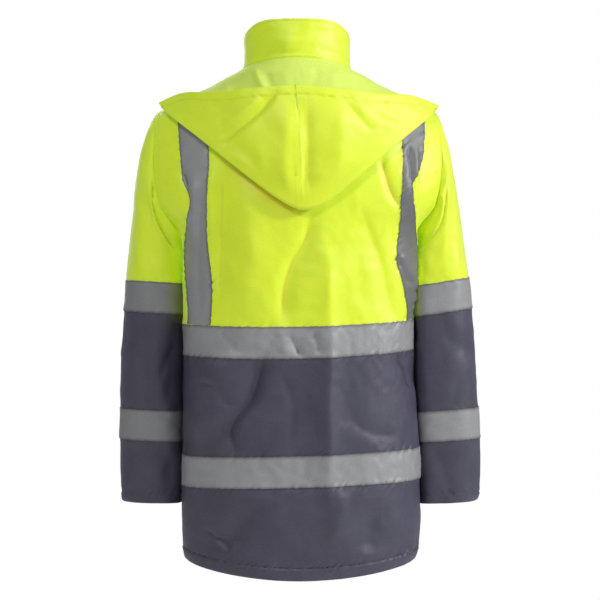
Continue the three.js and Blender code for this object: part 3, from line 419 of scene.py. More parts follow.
def cloth_piece(node, outer, inner, paints, tube=False, shaded=0.0, creased=1.0):
    """One cloth, from the points of its faces in rows and columns. paints are for the outer face and the
    inner one. shaded is the least painted shade of each outer point, and creased scales its painted crease shade."""
    rows, columns = outer.shape[:2]
    spans = columns if tube else columns - 1
    points = np.concatenate([outer.reshape(-1, 3), inner.reshape(-1, 3)])
    wrapped = np.concatenate([outer, outer[:, :1]], 1) if tube else outer
    across = np.linalg.norm(np.diff(wrapped, axis=1), axis=-1)
    u = np.concatenate([np.zeros((rows, 1)), np.cumsum(across, 1)], 1)
    u -= u[:, [spans // 2]]
    down = np.linalg.norm(np.diff(wrapped, axis=0), axis=-1)
    v = -np.concatenate([np.zeros((1, spans + 1)), np.cumsum(down, 0)], 0)
    quads, places, inside = [], [], []

    def add(*corners):
        """Faces between four corners, each given as 0 for outer or 1 for inner, its row and its column."""
        corners = [np.broadcast_arrays(*corner) for corner in corners]
        side, r, c = (np.stack([corner[k] for corner in corners], -1) for k in range(3))
        quads.append(side * rows * columns + r * columns + c % columns)
        places.append(np.stack([u[r, c], v[r, c]], -1))
        inside.append(side.min(-1))

    r, c = (a.ravel() for a in np.meshgrid(np.arange(rows - 1), np.arange(spans), indexing="ij"))
    add((0, r, c), (0, r, c + 1), (0, r + 1, c + 1), (0, r + 1, c))
    add((1, r, c), (1, r + 1, c), (1, r + 1, c + 1), (1, r, c + 1))
    c, last = np.arange(spans), rows - 1
    add((0, 0, c), (1, 0, c), (1, 0, c + 1), (0, 0, c + 1))
    add((0, last, c), (0, last, c + 1), (1, last, c + 1), (1, last, c))
    if not tube:
        r, end = np.arange(rows - 1), columns - 1
        add((0, r, 0), (0, r + 1, 0), (1, r + 1, 0), (1, r, 0))
        add((0, r, end), (1, r, end), (1, r + 1, end), (0, r + 1, end))
    quads, places, inside = (np.concatenate(parts) for parts in (quads, places, inside))
    a, b, d, e = (points[quads[:, k]] for k in range(4))
    if np.sum(a * np.cross(b, d)) + np.sum(a * np.cross(d, e)) < 0:
        quads, places = quads[:, ::-1], places[:, ::-1]

    mesh = bpy.data.meshes.new(f"{node}_cloth")
    mesh.vertices.add(len(points))
    mesh.vertices.foreach_set("co", (points * MM).astype(np.float32).ravel())
    mesh.loops.add(quads.size)
    mesh.loops.foreach_set("vertex_index", quads.astype(np.int32).ravel())
    mesh.polygons.add(len(quads))
    mesh.polygons.foreach_set("loop_start", (np.arange(len(quads)) * 4).astype(np.int32))
    mesh.update(calc_edges=True)
    mesh.uv_layers.new(name="cloth").data.foreach_set("uv", (places * MM).astype(np.float32).ravel())
    for paint in paints:
        mesh.materials.append(paint)
    if len(paints) > 1:
        mesh.polygons.foreach_set("material_index", inside.astype(np.int32))
    # Each outer point's painted shade: from its crease depth, and at least shaded.
    painted_shade = np.zeros(len(points))
    painted_shade[: rows * columns] = np.maximum(creased * crease_shade_amount(outer, inner, tube), shaded).ravel()
    mesh.attributes.new("painted_shade", "FLOAT", "POINT").data.foreach_set("value", painted_shade.astype(np.float32))
    piece = add_object(f"{node}_cloth", mesh)
    bpy.context.view_layer.objects.active = piece
    piece.select_set(True)
    bpy.ops.object.shade_smooth_by_angle(angle=math.radians(SHARP_ANGLE))
    piece.select_set(False)

    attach(piece, "jacket")
    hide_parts(node)


def grid_normals(points, tube=False):
    around = np.roll(points, -1, 1) - np.roll(points, 1, 1) if tube else np.gradient(points, axis=1)
    return unit(np.cross(np.gradient(points, axis=0), around))


def outward(points, tube=False):
    """The normals of a grid of points, facing away from its middle."""
    n = grid_normals(points, tube)
    return -n if np.sum(n * (points - points.mean(axis=(0, 1)))) < 0 else n


# The weave, as a node group that every cloth uses: threads over and under, at a pitch in metres, with
# slubs, and a soft mottle of tone. It puts out a height for the bump and a tone from 0 to 1.
def build_weave():
    group = bpy.data.node_groups.new("weave", "ShaderNodeTree")
    for name, way in (("Vector", "INPUT"), ("Threads", "INPUT"), ("Height", "OUTPUT"), ("Tone", "OUTPUT")):
        kind = "NodeSocketVector" if name == "Vector" else "NodeSocketFloat"
        group.interface.new_socket(name, in_out=way, socket_type=kind)
    links = group.links
    inside, out = group.nodes.new("NodeGroupInput"), group.nodes.new("NodeGroupOutput")

    def maths(kind, *values):
        node = add_node(group, "Math")
        node.operation = kind
        for socket, value in zip(node.inputs, values):
            if isinstance(value, (int, float)):
                socket.default_value = value
            else:
                links.new(value, socket)
        return node.outputs[0]

    def noise(scale, detail):
        node = add_node(group, "TexNoise", Scale=scale, Detail=detail)
        links.new(inside.outputs["Vector"], node.inputs["Vector"])
        return node.outputs["Fac"]

    split = add_node(group, "SeparateXYZ")
    links.new(inside.outputs["Vector"], split.inputs[0])
    turn = maths("MULTIPLY", inside.outputs["Threads"], math.pi)
    waves = [maths("SINE", maths("MULTIPLY", split.outputs[axis], turn)) for axis in ("X", "Y")]
    cells, slubs = maths("MULTIPLY", *waves), noise(900, 2)
    height = maths("ADD", maths("MULTIPLY", cells, 0.5), maths("MULTIPLY", slubs, 0.9))
    links.new(height, out.inputs["Height"])
    specks, mottle = noise(420, 3), noise(22, 2)
    tone = maths("ADD", maths("MULTIPLY", specks, 0.6), maths("MULTIPLY", mottle, 0.4))
    links.new(tone, out.inputs["Tone"])
    return group


WEAVE = build_weave()


def cloth_paint(name, dark, light, crease, rough, threads, depth, sheen=0.0, painted_glow=None, metal=0.0, ior=1.45):
    """A woven cloth between two tones, with the weave's own bump, painted shade in its narrow creases and an optional
    painted glow.
    """
    even = {"Roughness": rough, "Metallic": metal, "IOR": ior, "Sheen Weight": sheen}
    paint, tree, shader = new_paint(name, even)
    links = tree.links
    flat = add_node(tree, "UVMap")
    flat.uv_map = "cloth"
    weave = add_node(tree, "Group")
    weave.node_tree = WEAVE
    weave.inputs["Threads"].default_value = threads
    links.new(flat.outputs[0], weave.inputs["Vector"])
    tones = add_node(tree, "ValToRGB")
    for end, place, tone in zip(tones.color_ramp.elements, (0.34, 0.66), (dark, light)):
        end.position, end.color = place, (*tone, 1)
    links.new(weave.outputs["Tone"], tones.inputs[0])
    painted_shade = add_node(tree, "Attribute")
    painted_shade.attribute_name = "painted_shade"

    def shade_in_creases(shade_color, target):
        """The open cloth's colour socket of a mix that turns to shade_color where the painted crease shade is."""
        blend = add_node(tree, "Mix")
        blend.data_type = "RGBA"
        links.new(painted_shade.outputs["Fac"], blend.inputs["Factor"])
        blend.inputs[7].default_value = (*shade_color, 1)
        links.new(blend.outputs[2], shader.inputs[target])
        return blend.inputs[6]

    links.new(tones.outputs[0], shade_in_creases(crease, "Base Color"))
    bump = add_node(tree, "Bump", Distance=depth, Strength=0.8)
    links.new(weave.outputs["Height"], bump.inputs["Height"])
    links.new(bump.outputs[0], shader.inputs["Normal"])
    # Painted glow: an even emission that lightens the cloth in its shade too, taken away where the painted crease
    # shade is.
    if painted_glow:
        shade_in_creases((0, 0, 0), "Emission Color").default_value = (*painted_glow, 1)
        shader.inputs["Emission Strength"].default_value = 1.0
    return paint


# The third colour of each cloth is its painted crease shade; the yellow cloths' painted glow is emitted light, not a
# lamp.
yellow_cloth = cloth_paint(
    "yellow_cloth", (0.58, 0.65, 0.006), (0.67, 0.73, 0.016), (0.62, 0.35, 0.0), 0.48, 1100, 0.00012,
    sheen=0.15, painted_glow=(0.06, 0.14, 0.0), ior=1.6
)
grey_cloth = cloth_paint(
    "grey_cloth", (0.044, 0.041, 0.067), (0.065, 0.061, 0.093), (0.02, 0.018, 0.03), 0.45, 1000, 0.00016, ior=1.5
)
tape_cloth = cloth_paint(
    "reflective_tape", (0.27, 0.27, 0.275), (0.33, 0.33, 0.335), (0.10, 0.10, 0.105), 0.5, 1500, 0.00006,
    metal=0.25
)
hood_inside = cloth_paint(
    "hood_inside", (0.56, 0.66, 0.10), (0.64, 0.75, 0.15), (0.35, 0.24, 0.02), 0.6, 1100, 0.0001,
    painted_glow=(0.04, 0.09, 0.0)
)

# Stitches, in rows: a short thread that dips into the cloth at its ends, made once and repeated along
# each line at its pitch. All rows of one thread colour are one object.
STITCH_PITCH, STITCH_LONG, STITCH_THICK, STITCH_LIFT = 3.4, 2.3, 0.42, 0.12
stitch_rows = {"yellow_thread": [], "grey_thread": [], "tape_thread": []}


def stitch_line(thread, points, normals):
    stitch_rows[thread].append((points, normals))


def lengths_along(points):
    return np.concatenate([[0], np.cumsum(np.linalg.norm(np.diff(points, axis=0), axis=1))])


def along_line(at, reach, values):
    return np.stack([np.interp(at, reach, values[:, k]) for k in range(3)], -1)


def build_stitches(name, lines, paint):
    ring = [(0, 1), (0.87, -0.2), (-0.87, -0.2)]
    shape = [[end, a * 0.5, b * 0.5] for end in (-0.26, 0.26) for a, b in ring]
    shape = np.array([[-0.5, 0, -0.6], *shape, [0.5, 0, -0.6]])
    tris = [[0, 2, 1], [0, 3, 2], [0, 1, 3]]
    for a in range(3):
        b = (a + 1) % 3
        tris += [[1 + a, 1 + b, 4 + b], [1 + a, 4 + b, 4 + a], [7, 4 + a, 4 + b]]
    all_points, all_faces, count = [], [], 0
    for points, normals in lines:
        reach = lengths_along(points)
        at = np.arange(STITCH_PITCH / 2, reach[-1], STITCH_PITCH)
        along = unit(along_line(at + 0.5, reach, points) - along_line(at - 0.5, reach, points))
        side = unit(np.cross(along_line(at, reach, normals), along))
        placed = (
            along_line(at, reach, points)[:, None]
            + along[:, None] * shape[None, :, :1] * STITCH_LONG
            + side[:, None] * shape[None, :, 1:2] * STITCH_THICK
            + np.cross(along, side)[:, None] * (shape[None, :, 2:] * STITCH_THICK + STITCH_LIFT)
        )
        all_points.append(placed.reshape(-1, 3))
        faces = np.array(tris)[None] + (np.arange(len(at)) * len(shape))[:, None, None] + count
        all_faces.append(faces.reshape(-1, 3))
        count += len(at) * len(shape)
    mesh = bpy.data.meshes.new(name)
    mesh.from_pydata((np.concatenate(all_points) * MM).tolist(), [], np.concatenate(all_faces).tolist())
    mesh.materials.append(paint)
    mesh.shade_smooth()
    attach(add_object(name, mesh), "jacket")


# The body: a back and two fronts, each a yellow yoke sewn to a grey skirt under the waist tape, in
# padded cloth with a turned and stitched hem. The armholes are ovals cut in the yokes' sides. PANELS
# gives each panel's width and the step of its mesh, which is finest on the back that the photo shows.
CLOTH, ZIP_HALF = 2.4, 9.0
JOIN, JOIN_GAP = (RING["waistBandTop"] + RING["waistBandFoot"]) / 2, 0.003
PANELS = {"back": (560, 2.5), "front_left": (280, 4.0), "front_right": (280, 4.0)}
HEM_BEND, HEM_BEND_ROWS = 15.8, [0.3, 0.6, 0.8, 0.9, 0.95, 0.985, 1.0]
HEM_TURNING, TURNING_RISE, STITCH_SINK, TURNING_PLUMP = 20.0, 0.7, 0.9, 0.6
SEAM_SINK, SEAM_WIDE = 0.5, 1.6


def zip_edge(half):
    return np.degrees(np.arcsin(ZIP_HALF / half))


def panel_edges(panel, place):
    side = side_edge(place)
    front = zip_edge(between(RINGS, place)[HALF_WIDTH])
    if panel == "back":
        return -90 + side, 90 - side
    if panel == "front_left":
        return 90 + side, 180 - front
    return 180 + front, 270 - side


def places_down(rings, step):
    """Ring places so that the rows are about a step apart."""
    found = []
    for low, high in zip(rings, rings[1:]):
        z = plain_form(np.array([low, high]), 0.0)[:, 2]
        found.append(np.linspace(low, high, max(2, int(abs(z[1] - z[0]) / step) + 1)))
    return np.unique(np.concatenate(found).round(6))


def round_edge(away, thick):
    """How far both faces draw in near a rounded edge, for a distance from it."""
    r = thick / 2
    return r - np.sqrt(np.maximum(r * r - np.maximum(r - away, 0) ** 2, 0))


def edge_relief(from_edge, turning):
    """The outer face near a turned edge: sunk at the stitches, thicker in the turning."""
    turned = smooth(from_edge, 0.5, 2.5) * (1 - smooth(from_edge, turning - 2.2, turning - 0.5))
    return TURNING_RISE * turned - STITCH_SINK * np.exp(-(((from_edge - turning) / 1.1) ** 2))


def panel_grid(panel, places, columns):
    low, high = (edge[:, None] for edge in panel_edges(panel, places))
    turn = mix(low, high, np.linspace(0, 1, columns + 1)[None])
    p = form(places[:, None], turn)
    away = np.minimum(np.abs(turn - low), np.abs(turn - high)) * MM_PER_TURN
    return p, outward(p), turn, away


HOOD_FOOT = [(193, -89), (143, -126), (94, -168), (47, -206), (16, -226), (-9, -233), (-28, -233), (-47, -220),
             (-78, -196), (-125, -157), (-161, -129), (-198, -98)]


def painted_hood_shadow(p):
    """The painted shadow on the yoke where the hood's folded edge rests: wide on the left, none on the right."""
    foot = np.array(HOOD_FOOT, float)[::-1]
    below = np.interp(p[..., 0], foot[:, 0], foot[:, 1]) - p[..., 2]
    where = smooth(p[..., 0], -30, 20) * (1 - smooth(p[..., 0], 120, 150))
    wide = mix(5.0, 13.0, smooth(p[..., 0], 0, 60) * (1 - smooth(p[..., 0], 90, 140)))
    return 0.85 * where * smooth(below, -8, 0) * np.exp(-np.maximum(below, 0) / wide) * (p[..., 1] > 0)


def body_panel(panel, part):
    width, step = PANELS[panel]
    if part == "yoke":
        armhole_rows = armhole_at(np.linspace(0, 180, int(260 / step)))[0]
        places = [places_down([0, 1, 2, 3], step), armhole_rows, places_down([7, 8, 9, JOIN - JOIN_GAP], step)]
    else:
        bend = HEM_BEND + (RING["hem"] - HEM_BEND) * np.array(HEM_BEND_ROWS)
        hem_rows = [places_down([RING["hemStitch"], HEM_BEND], step / 2), bend]
        places = [places_down([JOIN + JOIN_GAP, 10, 11, 12, 13, 14, 15], step), *hem_rows]
    places = np.unique(np.concatenate(places).round(6))
    p, n, turn, away = panel_grid(panel, places, int(width / step))
    seam = -SEAM_SINK * np.exp(-away / SEAM_WIDE)
    if part == "yoke":
        outer = p + n * seam[..., None]
        inner = outer - n * CLOTH
    else:
        from_edge = p[..., 2] - p[-1:, :, 2]
        tuck = round_edge(from_edge, CLOTH + TURNING_PLUMP)
        outer = p + n * (edge_relief(from_edge, HEM_TURNING) + seam - tuck)[..., None]
        inner = p - n * (CLOTH - tuck)[..., None]
    paint, slot = (yellow_cloth, "yellow_cloth") if part == "yoke" else (grey_cloth, "grey_cloth")
    # The back yoke gets the hood's painted shadow in its colour.
    shaded = painted_hood_shadow(outer) if (panel, part) == ("back", "yoke") else 0.0
    cloth_piece(f"{panel}_{part}", outer, inner, [paint], shaded=shaded)


for panel in PANELS:
    for part in ("yoke", "skirt"):
        body_panel(panel, part)


def ring_line(panel, place, margin=0.6, count=240):
    """A line of the body's points at one ring place, from edge to edge of a panel, and their normals."""
    low, high = panel_edges(panel, np.array([place]))
    turn = np.linspace(low[0] + margin, high[0] - margin, count)
    return form(place, turn), form_normal(place, turn)


SUNK_STITCH = 0.75
for panel in PANELS:
    points, n = ring_line(panel, RING["hemStitch"] + 0.02)
    stitch_line("grey_thread", points - n * SUNK_STITCH, n)

# The reflective tapes round the body, one length on each panel, stitched down along both edges. Glass
# beads in a silver coat give them a satin grey face. The fabric under them gathers at the stitches.
TAPE_GAP, TAPE_TOP, TAPE_WIDE, TAPE_STEP = 0.3, 1.1, 50, 3.2
# TAPE_RIM_SHADE darkens each tape's rims: it stands for the dark edge thread, the tape's own colour, and for the
# shadow at the binding, which is painted shade.
TAPE_WAVE, TAPE_RIM, TAPE_RIM_SHADE = 0.5, 1.2, 0.9
STITCH_IN = 0.05
TAPE_BANDS = {"waist_tape": ("waistBandTop", "waistBandFoot"), "hem_tape": ("hemBandTop", "hemBandFoot")}


def tape_piece(node, p, n, from_edge, shade=0.0, tube=False):
    # Painted shade along the rims, partly for the dark edge thread, and shade as painted shade over the whole tape.
    shaded = np.maximum(TAPE_RIM_SHADE * np.exp(-from_edge / TAPE_RIM), shade)
    outer, inner = p + n * TAPE_TOP, p + n * TAPE_GAP
    cloth_piece(node, outer, inner, [tape_cloth], tube, shaded)


def rim_wave(along, from_edge, seed, rim):
    """How far a tape's rim strays from its line."""
    return TAPE_WAVE * soft_noise(along, from_edge, GATHER_SIZE, seed) * (from_edge < rim)


def rows_from_edge(count, step, turn):
    return np.minimum(np.arange(count), np.arange(count)[::-1])[:, None] * step + 0 * turn


for band, (top, foot) in TAPE_BANDS.items():
    for panel, (width, step) in PANELS.items():
        step = min(step, TAPE_STEP)
        places = np.linspace(RING[top], RING[foot], int(TAPE_WIDE / step) + 2)
        p, n, turn, _ = panel_grid(panel, places, int(width / step))
        from_edge = rows_from_edge(len(places), step, turn)
        p[..., 2] += rim_wave(turn * MM_PER_TURN, from_edge, 90, step)
        tape_piece(f"{band}_{panel}", p, n, from_edge)
        for place in (RING[top] + STITCH_IN, RING[foot] - STITCH_IN):
            points, normal = ring_line(panel, place)
            stitch_line("tape_thread", points + normal * TAPE_TOP, normal)

# The braces: the same tape over each shoulder, from the waist tape at the back to the one in front. They
# are a little lifted at the shoulder seam, and the one on the right has painted shade in its colour.
SHOULDER_LIFT, BRACE_SHADE = 1.0, {"left": 0.0, "right": 0.7}
BRACE_ROWS, BRACE_COLUMNS, BRACE_WIDE = 300, 19, 40
HALVINGS = 30


def halve(low, high, is_short):
    """The value between low and high at which is_short turns from true to false."""
    for _ in range(HALVINGS):
        middle = (low + high) / 2
        short = is_short(middle)
        low, high = np.where(short, middle, low), np.where(short, high, middle)
    return low


def turn_at_x(place, x):
    lean = between(RINGS, place)[LEAN]
    goal = np.abs(x - lean)

    def is_short(turn):
        return np.abs(plain_form(place, turn)[..., 0] - lean) < goal

    return halve(np.zeros_like(goal), np.full_like(goal, 90.0), is_short)


def place_at_top(x):
    """The ring whose side is at x, where the shoulder's ridge passes."""
    def is_short(place):
        ring = between(RINGS, place)
        return ring[HALF_WIDTH] < np.abs(x - ring[LEAN])

    return halve(np.zeros_like(x), np.full_like(x, 3.0), is_short)


def brace_points(side, share, run, foot):
    """share goes from the inner edge to the outer one; run from -1, the back's foot, to 1, the front's."""
    share, run = np.broadcast_arrays(share, run)
    z = np.full(share.shape, -60.0)
    hand = 1 if side == "left" else -1
    top = place_at_top(mix(brace_edge(side, "inner", -50.0), brace_edge(side, "outer", -50.0), share))
    place = mix(top, foot, np.abs(run) ** 0.9)
    ring = between(RINGS, place)
    widest = ring[HALF_WIDTH] + hand * ring[LEAN] - 0.01
    for _ in range(9):
        x = mix(brace_edge(side, "inner", z), brace_edge(side, "outer", z), share)
        turn = turn_at_x(place, hand * np.minimum(hand * x, widest))
        turn = hand * np.where(run < 0, turn, 180 - turn)
        z = plain_form(place, turn)[..., 2]
    return place, turn


for side in ("left", "right"):
    run = np.linspace(-1, 1, BRACE_ROWS)[:, None]
    share = np.linspace(0, 1, BRACE_COLUMNS)[None]
    p = form(*brace_points(side, share, run, RING["waistBandTop"] - 0.012))
    n = outward(p)
    from_edge = np.minimum(share, 1 - share) * BRACE_WIDE + 0 * run
    p = p + n * (SHOULDER_LIFT * np.exp(-((run / 0.1) ** 2)))[..., None]
    p[..., 0] += rim_wave(p[..., 2], from_edge, 94, 1)
    tape_piece(f"brace_tape_{side}", p, n, from_edge, BRACE_SHADE[side])
    for column in (1, BRACE_COLUMNS - 2):
        stitch_line("tape_thread", p[:, column] + n[:, column] * TAPE_TOP, n[:, column])

# The sleeves: a yellow upper part set into the armhole and a grey lower part with a turned, stitched
# cuff. Each hangs from the armhole as a tube and drags in folds towards the armpit.
SLEEVES = {
    "biceps": [-302, 6, 16, 279.5, 270, 188.5, 184, 60, -88, 2.6, 2.1],
    "bandTop": [-342, 6, 16, 283.5, 275, 188.5, 183.5, 58, -88, 2.8, 2.1],
    "bandFoot": [-392, 6, 16, 287, 280, 188, 183, 54, -86, 2.8, 2.1],
    "elbow": [-470, 6, 12, 292, 286.5, 188.5, 184.5, 47, -86, 2.8, 2.1],
    "cuffBandTop": [-549, 5, 8, 294, 291, 189.5, 187.5, 37, -84, 2.8, 2.1],
    "cuffBandFoot": [-599, 5, 7, 295, 294, 190.5, 190, 30, -82, 2.8, 2.1],
    "cuffStitch": [-683, 2, 4, 293, 294, 191.5, 192, 19, -77, 2.6, 2.1],
    "cuff": [-701, 2, 3, 290.5, 288, 192, 192.5, 17, -75, 2.5, 2.1],
}
SLEEVE_ROW = {name: i for i, name in enumerate(SLEEVES)}
SLEEVE_JOIN = (SLEEVE_ROW["bandTop"] + SLEEVE_ROW["bandFoot"]) / 2
SLEEVE_START = {"left": 0.43, "right": 0.26, "armpit": 0.1, "faces": 0.3, "away": 0.25}
SQUARE_INNER, ROUND_OUTER = 2.2, -0.45
# Painted shade in the colour of the left sleeve's tapes.
SLEEVE_TAPE_SHADE = {"left": 0.3, "right": 0.0}
ARMHOLE_GAP = 0.35
MITRE_LIMIT = 2.0
MM_PER_DEGREE = 0.9
SLEEVE_DEPTH, SLEEVE_SEED = 1.25, {"left": 80, "right": 120}
SLEEVE_FOLDS = {
    "left": [
        [4, -4.0, 0, 0.2, (97, -218), (103, -236), (110, -256), (130, -294)],
        [3.5, -3.5, 0, 0.2, (86, -150), (92, -190), (102, -232), (116, -262)],
        [9, -2.5, 0, 0.5, (104, -225), (112, -262), (128, -302)],
        [6, 2.0, 0, 0.4, (92, -215), (97, -240), (112, -275)],
        [14, -2.5, 0, 0.8, (72, -190), (78, -250), (76, -320)],
        [12, 2.0, 0, 0.8, (52, -210), (50, -270), (56, -330)],
        [14, -3.0, 0, 0.5, (20, -430), (48, -444), (74, -468)],
        [16, -5.0, 0, 0.5, (250, -440), (280, -462), (310, -492)],
        [14, -3.5, 0.2, 0.4, (122, -400), (116, -470), (112, -540)],
        [12, 2.5, 0, 0.6, (92, -400), (88, -450), (96, -520)],
        [9, -1.6, 0, 0.4, (64, -400), (74, -440), (70, -500)],
        [7, -1.6, 0, 0.4, (128, -440), (108, -466), (96, -500)],
        [12, -2.5, 0, 0.5, (104, -606), (112, -640), (110, -690)],
        [10, -1.5, 0, 0.5, (60, -610), (66, -640), (78, -672)],
        [7, -1.4, 0, 0.4, (90, -346), (112, -362), (136, -386)],
        [6, -1.2, 0, 0.4, (96, -556), (116, -566), (140, -590)],
        [14, -3.0, 0, 0.6, (262, -240), (250, -300), (256, -380)],
        [12, -2.0, 0, 0.6, (216, -300), (230, -400), (226, -520)],
        [22, 4.0, 0, 0.6, (162, -248), (162, -280), (162, -318)],
    ],
    "right": [
        [5, -6.0, 0.2, 0.25, (88, -166), (102, -182), (116, -197), (146, -230)],
        [5, 2.0, 0, 0.3, (78, -178), (90, -196), (104, -214)],
        [6, -3.4, 0.2, 0.25, (80, -192), (83, -222), (92, -254), (112, -276), (134, -292)],
        [7, 2.4, 0, 0.4, (92, -200), (98, -236), (112, -262)],
        [4, -2.0, 0, 0.3, (128, -262), (138, -270), (146, -278)],
        [9, -2.0, 0, 0.5, (58, -210), (60, -260), (70, -320)],
        [8, 1.6, 0, 0.5, (44, -230), (46, -280), (54, -330)],
        [8, -2.0, 0, 0.4, (132, -290), (122, -310), (114, -336)],
        [14, -2.5, 0, 0.6, (30, -455), (56, -446), (84, -430)],
        [16, -5.0, 0, 0.5, (248, -436), (280, -455), (312, -480)],
        [6, -2.0, 0, 0.4, (144, -395), (134, -420), (124, -440)],
        [10, -1.8, 0, 0.5, (66, -500), (70, -520), (74, -545)],
        [10, -1.6, 0, 0.5, (104, -610), (94, -640), (84, -672)],
        [6, -1.4, 0, 0.3, (62, -560), (92, -572), (120, -584)],
        [7, -1.2, 0, 0.4, (60, -352), (92, -366), (120, -372)],
        [14, -3.0, 0, 0.6, (262, -240), (252, -300), (258, -380)],
        [12, -2.0, 0, 0.6, (216, -300), (228, -400), (222, -520)],
    ],
}
STITCHED_SECTIONS = ["bandTop", "bandFoot", "cuffBandTop", "cuffBandFoot", "cuffStitch"]

CUFF_TURNING, HEAD_LENGTH = 16.0, 120
CUFF_BEND, CUFF_BEND_ROWS = 6.85, [0.3, 0.6, 0.8, 0.9, 0.96, 1.0]


def hand_of(side):
    return 1 if side == "left" else -1


def dot(a, b):
    return np.sum(a * b, -1, keepdims=True)


def armhole_point(side, swing):
    place, cut = armhole_at(swing)
    return form(place, hand_of(side) * (90 - cut))


def armhole_seam(side, swing):
    """The sleeve's start round the armhole, the way it leaves, and the mitre that it shares with the yoke."""
    hand = hand_of(side)
    p = armhole_point(side, swing)
    loop = unit(armhole_point(side, swing + 2) - armhole_point(side, swing - 2))
    place, cut = armhole_at(swing)
    body_normal = form_normal(place, hand * (90 - cut))
    top, back = cosine(swing / 2) ** 2, sine(swing)
    sideways = mix(SLEEVE_START["armpit"], SLEEVE_START[side], top) + SLEEVE_START["faces"] * np.abs(back)
    out = unit(np.stack([hand * sideways, SLEEVE_START["away"] * back, np.full_like(back, -1.0)], -1))
    across = unit(out - loop * dot(out, loop))
    sleeve_normal = np.cross(across, loop) * hand
    both = body_normal + sleeve_normal
    size = np.linalg.norm(both, axis=-1, keepdims=True)
    thick = both / np.maximum(1 + dot(body_normal, sleeve_normal), size / MITRE_LIMIT)
    gap = unit(np.cross(loop, thick))
    gap = np.where(dot(gap, across) < 0, -gap, gap)
    return p + gap * ARMHOLE_GAP, out, thick


def sleeve_tube(side, row, turn):
    values = between(SLEEVES, row)
    z, back, front, back_power, front_power = values[[0, 7, 8, 9, 10]]
    tilt, outer, inner = values[[1, 3, 5] if side == "left" else [2, 4, 6]]
    s, c = sine(turn), cosine(turn)
    inner_half = SQUARE_INNER if side == "right" else 0.0
    power = np.where(s > 0, back_power + np.where(c < 0, inner_half, ROUND_OUTER), front_power)
    reach = (np.abs(s) ** power + np.abs(c) ** power) ** (-1 / power)
    x = (outer + inner) / 2 + (outer - inner) / 2 * c * reach
    y = (back + front) / 2 + (back - front) / 2 * s * reach
    return np.stack([hand_of(side) * x, y, z + tilt / 2 * c], -1)


class SleeveForm:
    """One sleeve's surface: along runs from -1 at the armhole to 0 at the tube, then by sections."""

    def __init__(self, side):
        self.side = side
        self.turns = np.linspace(0, 360, 721)
        self.start, self.out, self.mitre = armhole_seam(side, self.turns)

    def on_seam(self, values, turn):
        return along_line(np.mod(turn, 360), self.turns, values)

    def plain(self, along, turn):
        along, turn = as_arrays(along, turn)
        tube = sleeve_tube(self.side, np.maximum(along, 0), turn)
        start, out = self.on_seam(self.start, turn), self.on_seam(self.out, turn)
        f = (along + 1)[..., None]
        end = sleeve_tube(self.side, 0.0 * along, turn)
        reach = np.linalg.norm(start - end, axis=-1, keepdims=True)
        down = unit(sleeve_tube(self.side, 0.0 * along + 0.2, turn) - end)
        head = start * (2 * f**3 - 3 * f**2 + 1) + end * (3 * f**2 - 2 * f**3)
        head = head + out * (f**3 - 2 * f**2 + f) * reach + down * (f**3 - f**2) * reach
        return np.where(along[..., None] >= 0, tube, head)

    def points(self, along, turn):
        along, turn = as_arrays(along, turn)
        p = self.plain(along, turn)
        n = normal_of(self.plain, along, turn, hand_of(self.side))
        x, z, round_turn = p[..., 0], p[..., 2], np.mod(turn, 360)
        move = fold_move(SLEEVE_FOLDS[self.side], round_turn * MM_PER_DEGREE, z, SLEEVE_DEPTH)
        seed = SLEEVE_SEED[self.side]
        move = move + 0.9 * soft_noise(x + sine(turn) * 60, z * 0.8, 26, seed) + 0.4 * soft_noise(x, z, 12, seed + 1)
        for k, name in enumerate(STITCHED_SECTIONS):
            seam_z = sleeve_tube(self.side, float(SLEEVE_ROW[name]) + 0 * turn, turn)[..., 2]
            across = np.abs(round_turn - 180) * MM_PER_DEGREE
            move = move + pucker(across, z - seam_z, seed + 3 + 3 * k, 6.5, 1.3)
        from_seam = (along + 1) * HEAD_LENGTH
        ripple = soft_noise(round_turn * 1.1 + from_seam * 0.5, from_seam * 0.2, 5.0, seed + 30)
        closed = smooth(np.minimum(round_turn, 360 - round_turn), 0, 10)
        move = move + 1.0 * ripple * closed * np.exp(-((from_seam / 13) ** 2)) * smooth(from_seam, 0, 3)
        return p + n * (move * smooth(along, -1, -0.97))[..., None]

    def grid(self, rows, columns):
        turn = (np.arange(columns) * 360 / columns)[None]
        p = self.points(rows[:, None], turn)
        return p, outward(p, tube=True), turn

    def stitches(self, thread, row, lift):
        turn = np.linspace(1, 359, 130)
        n = normal_of(self.points, row + 0 * turn, turn, hand_of(self.side))
        stitch_line(thread, self.points(row + 0 * turn, turn) + n * lift, n)


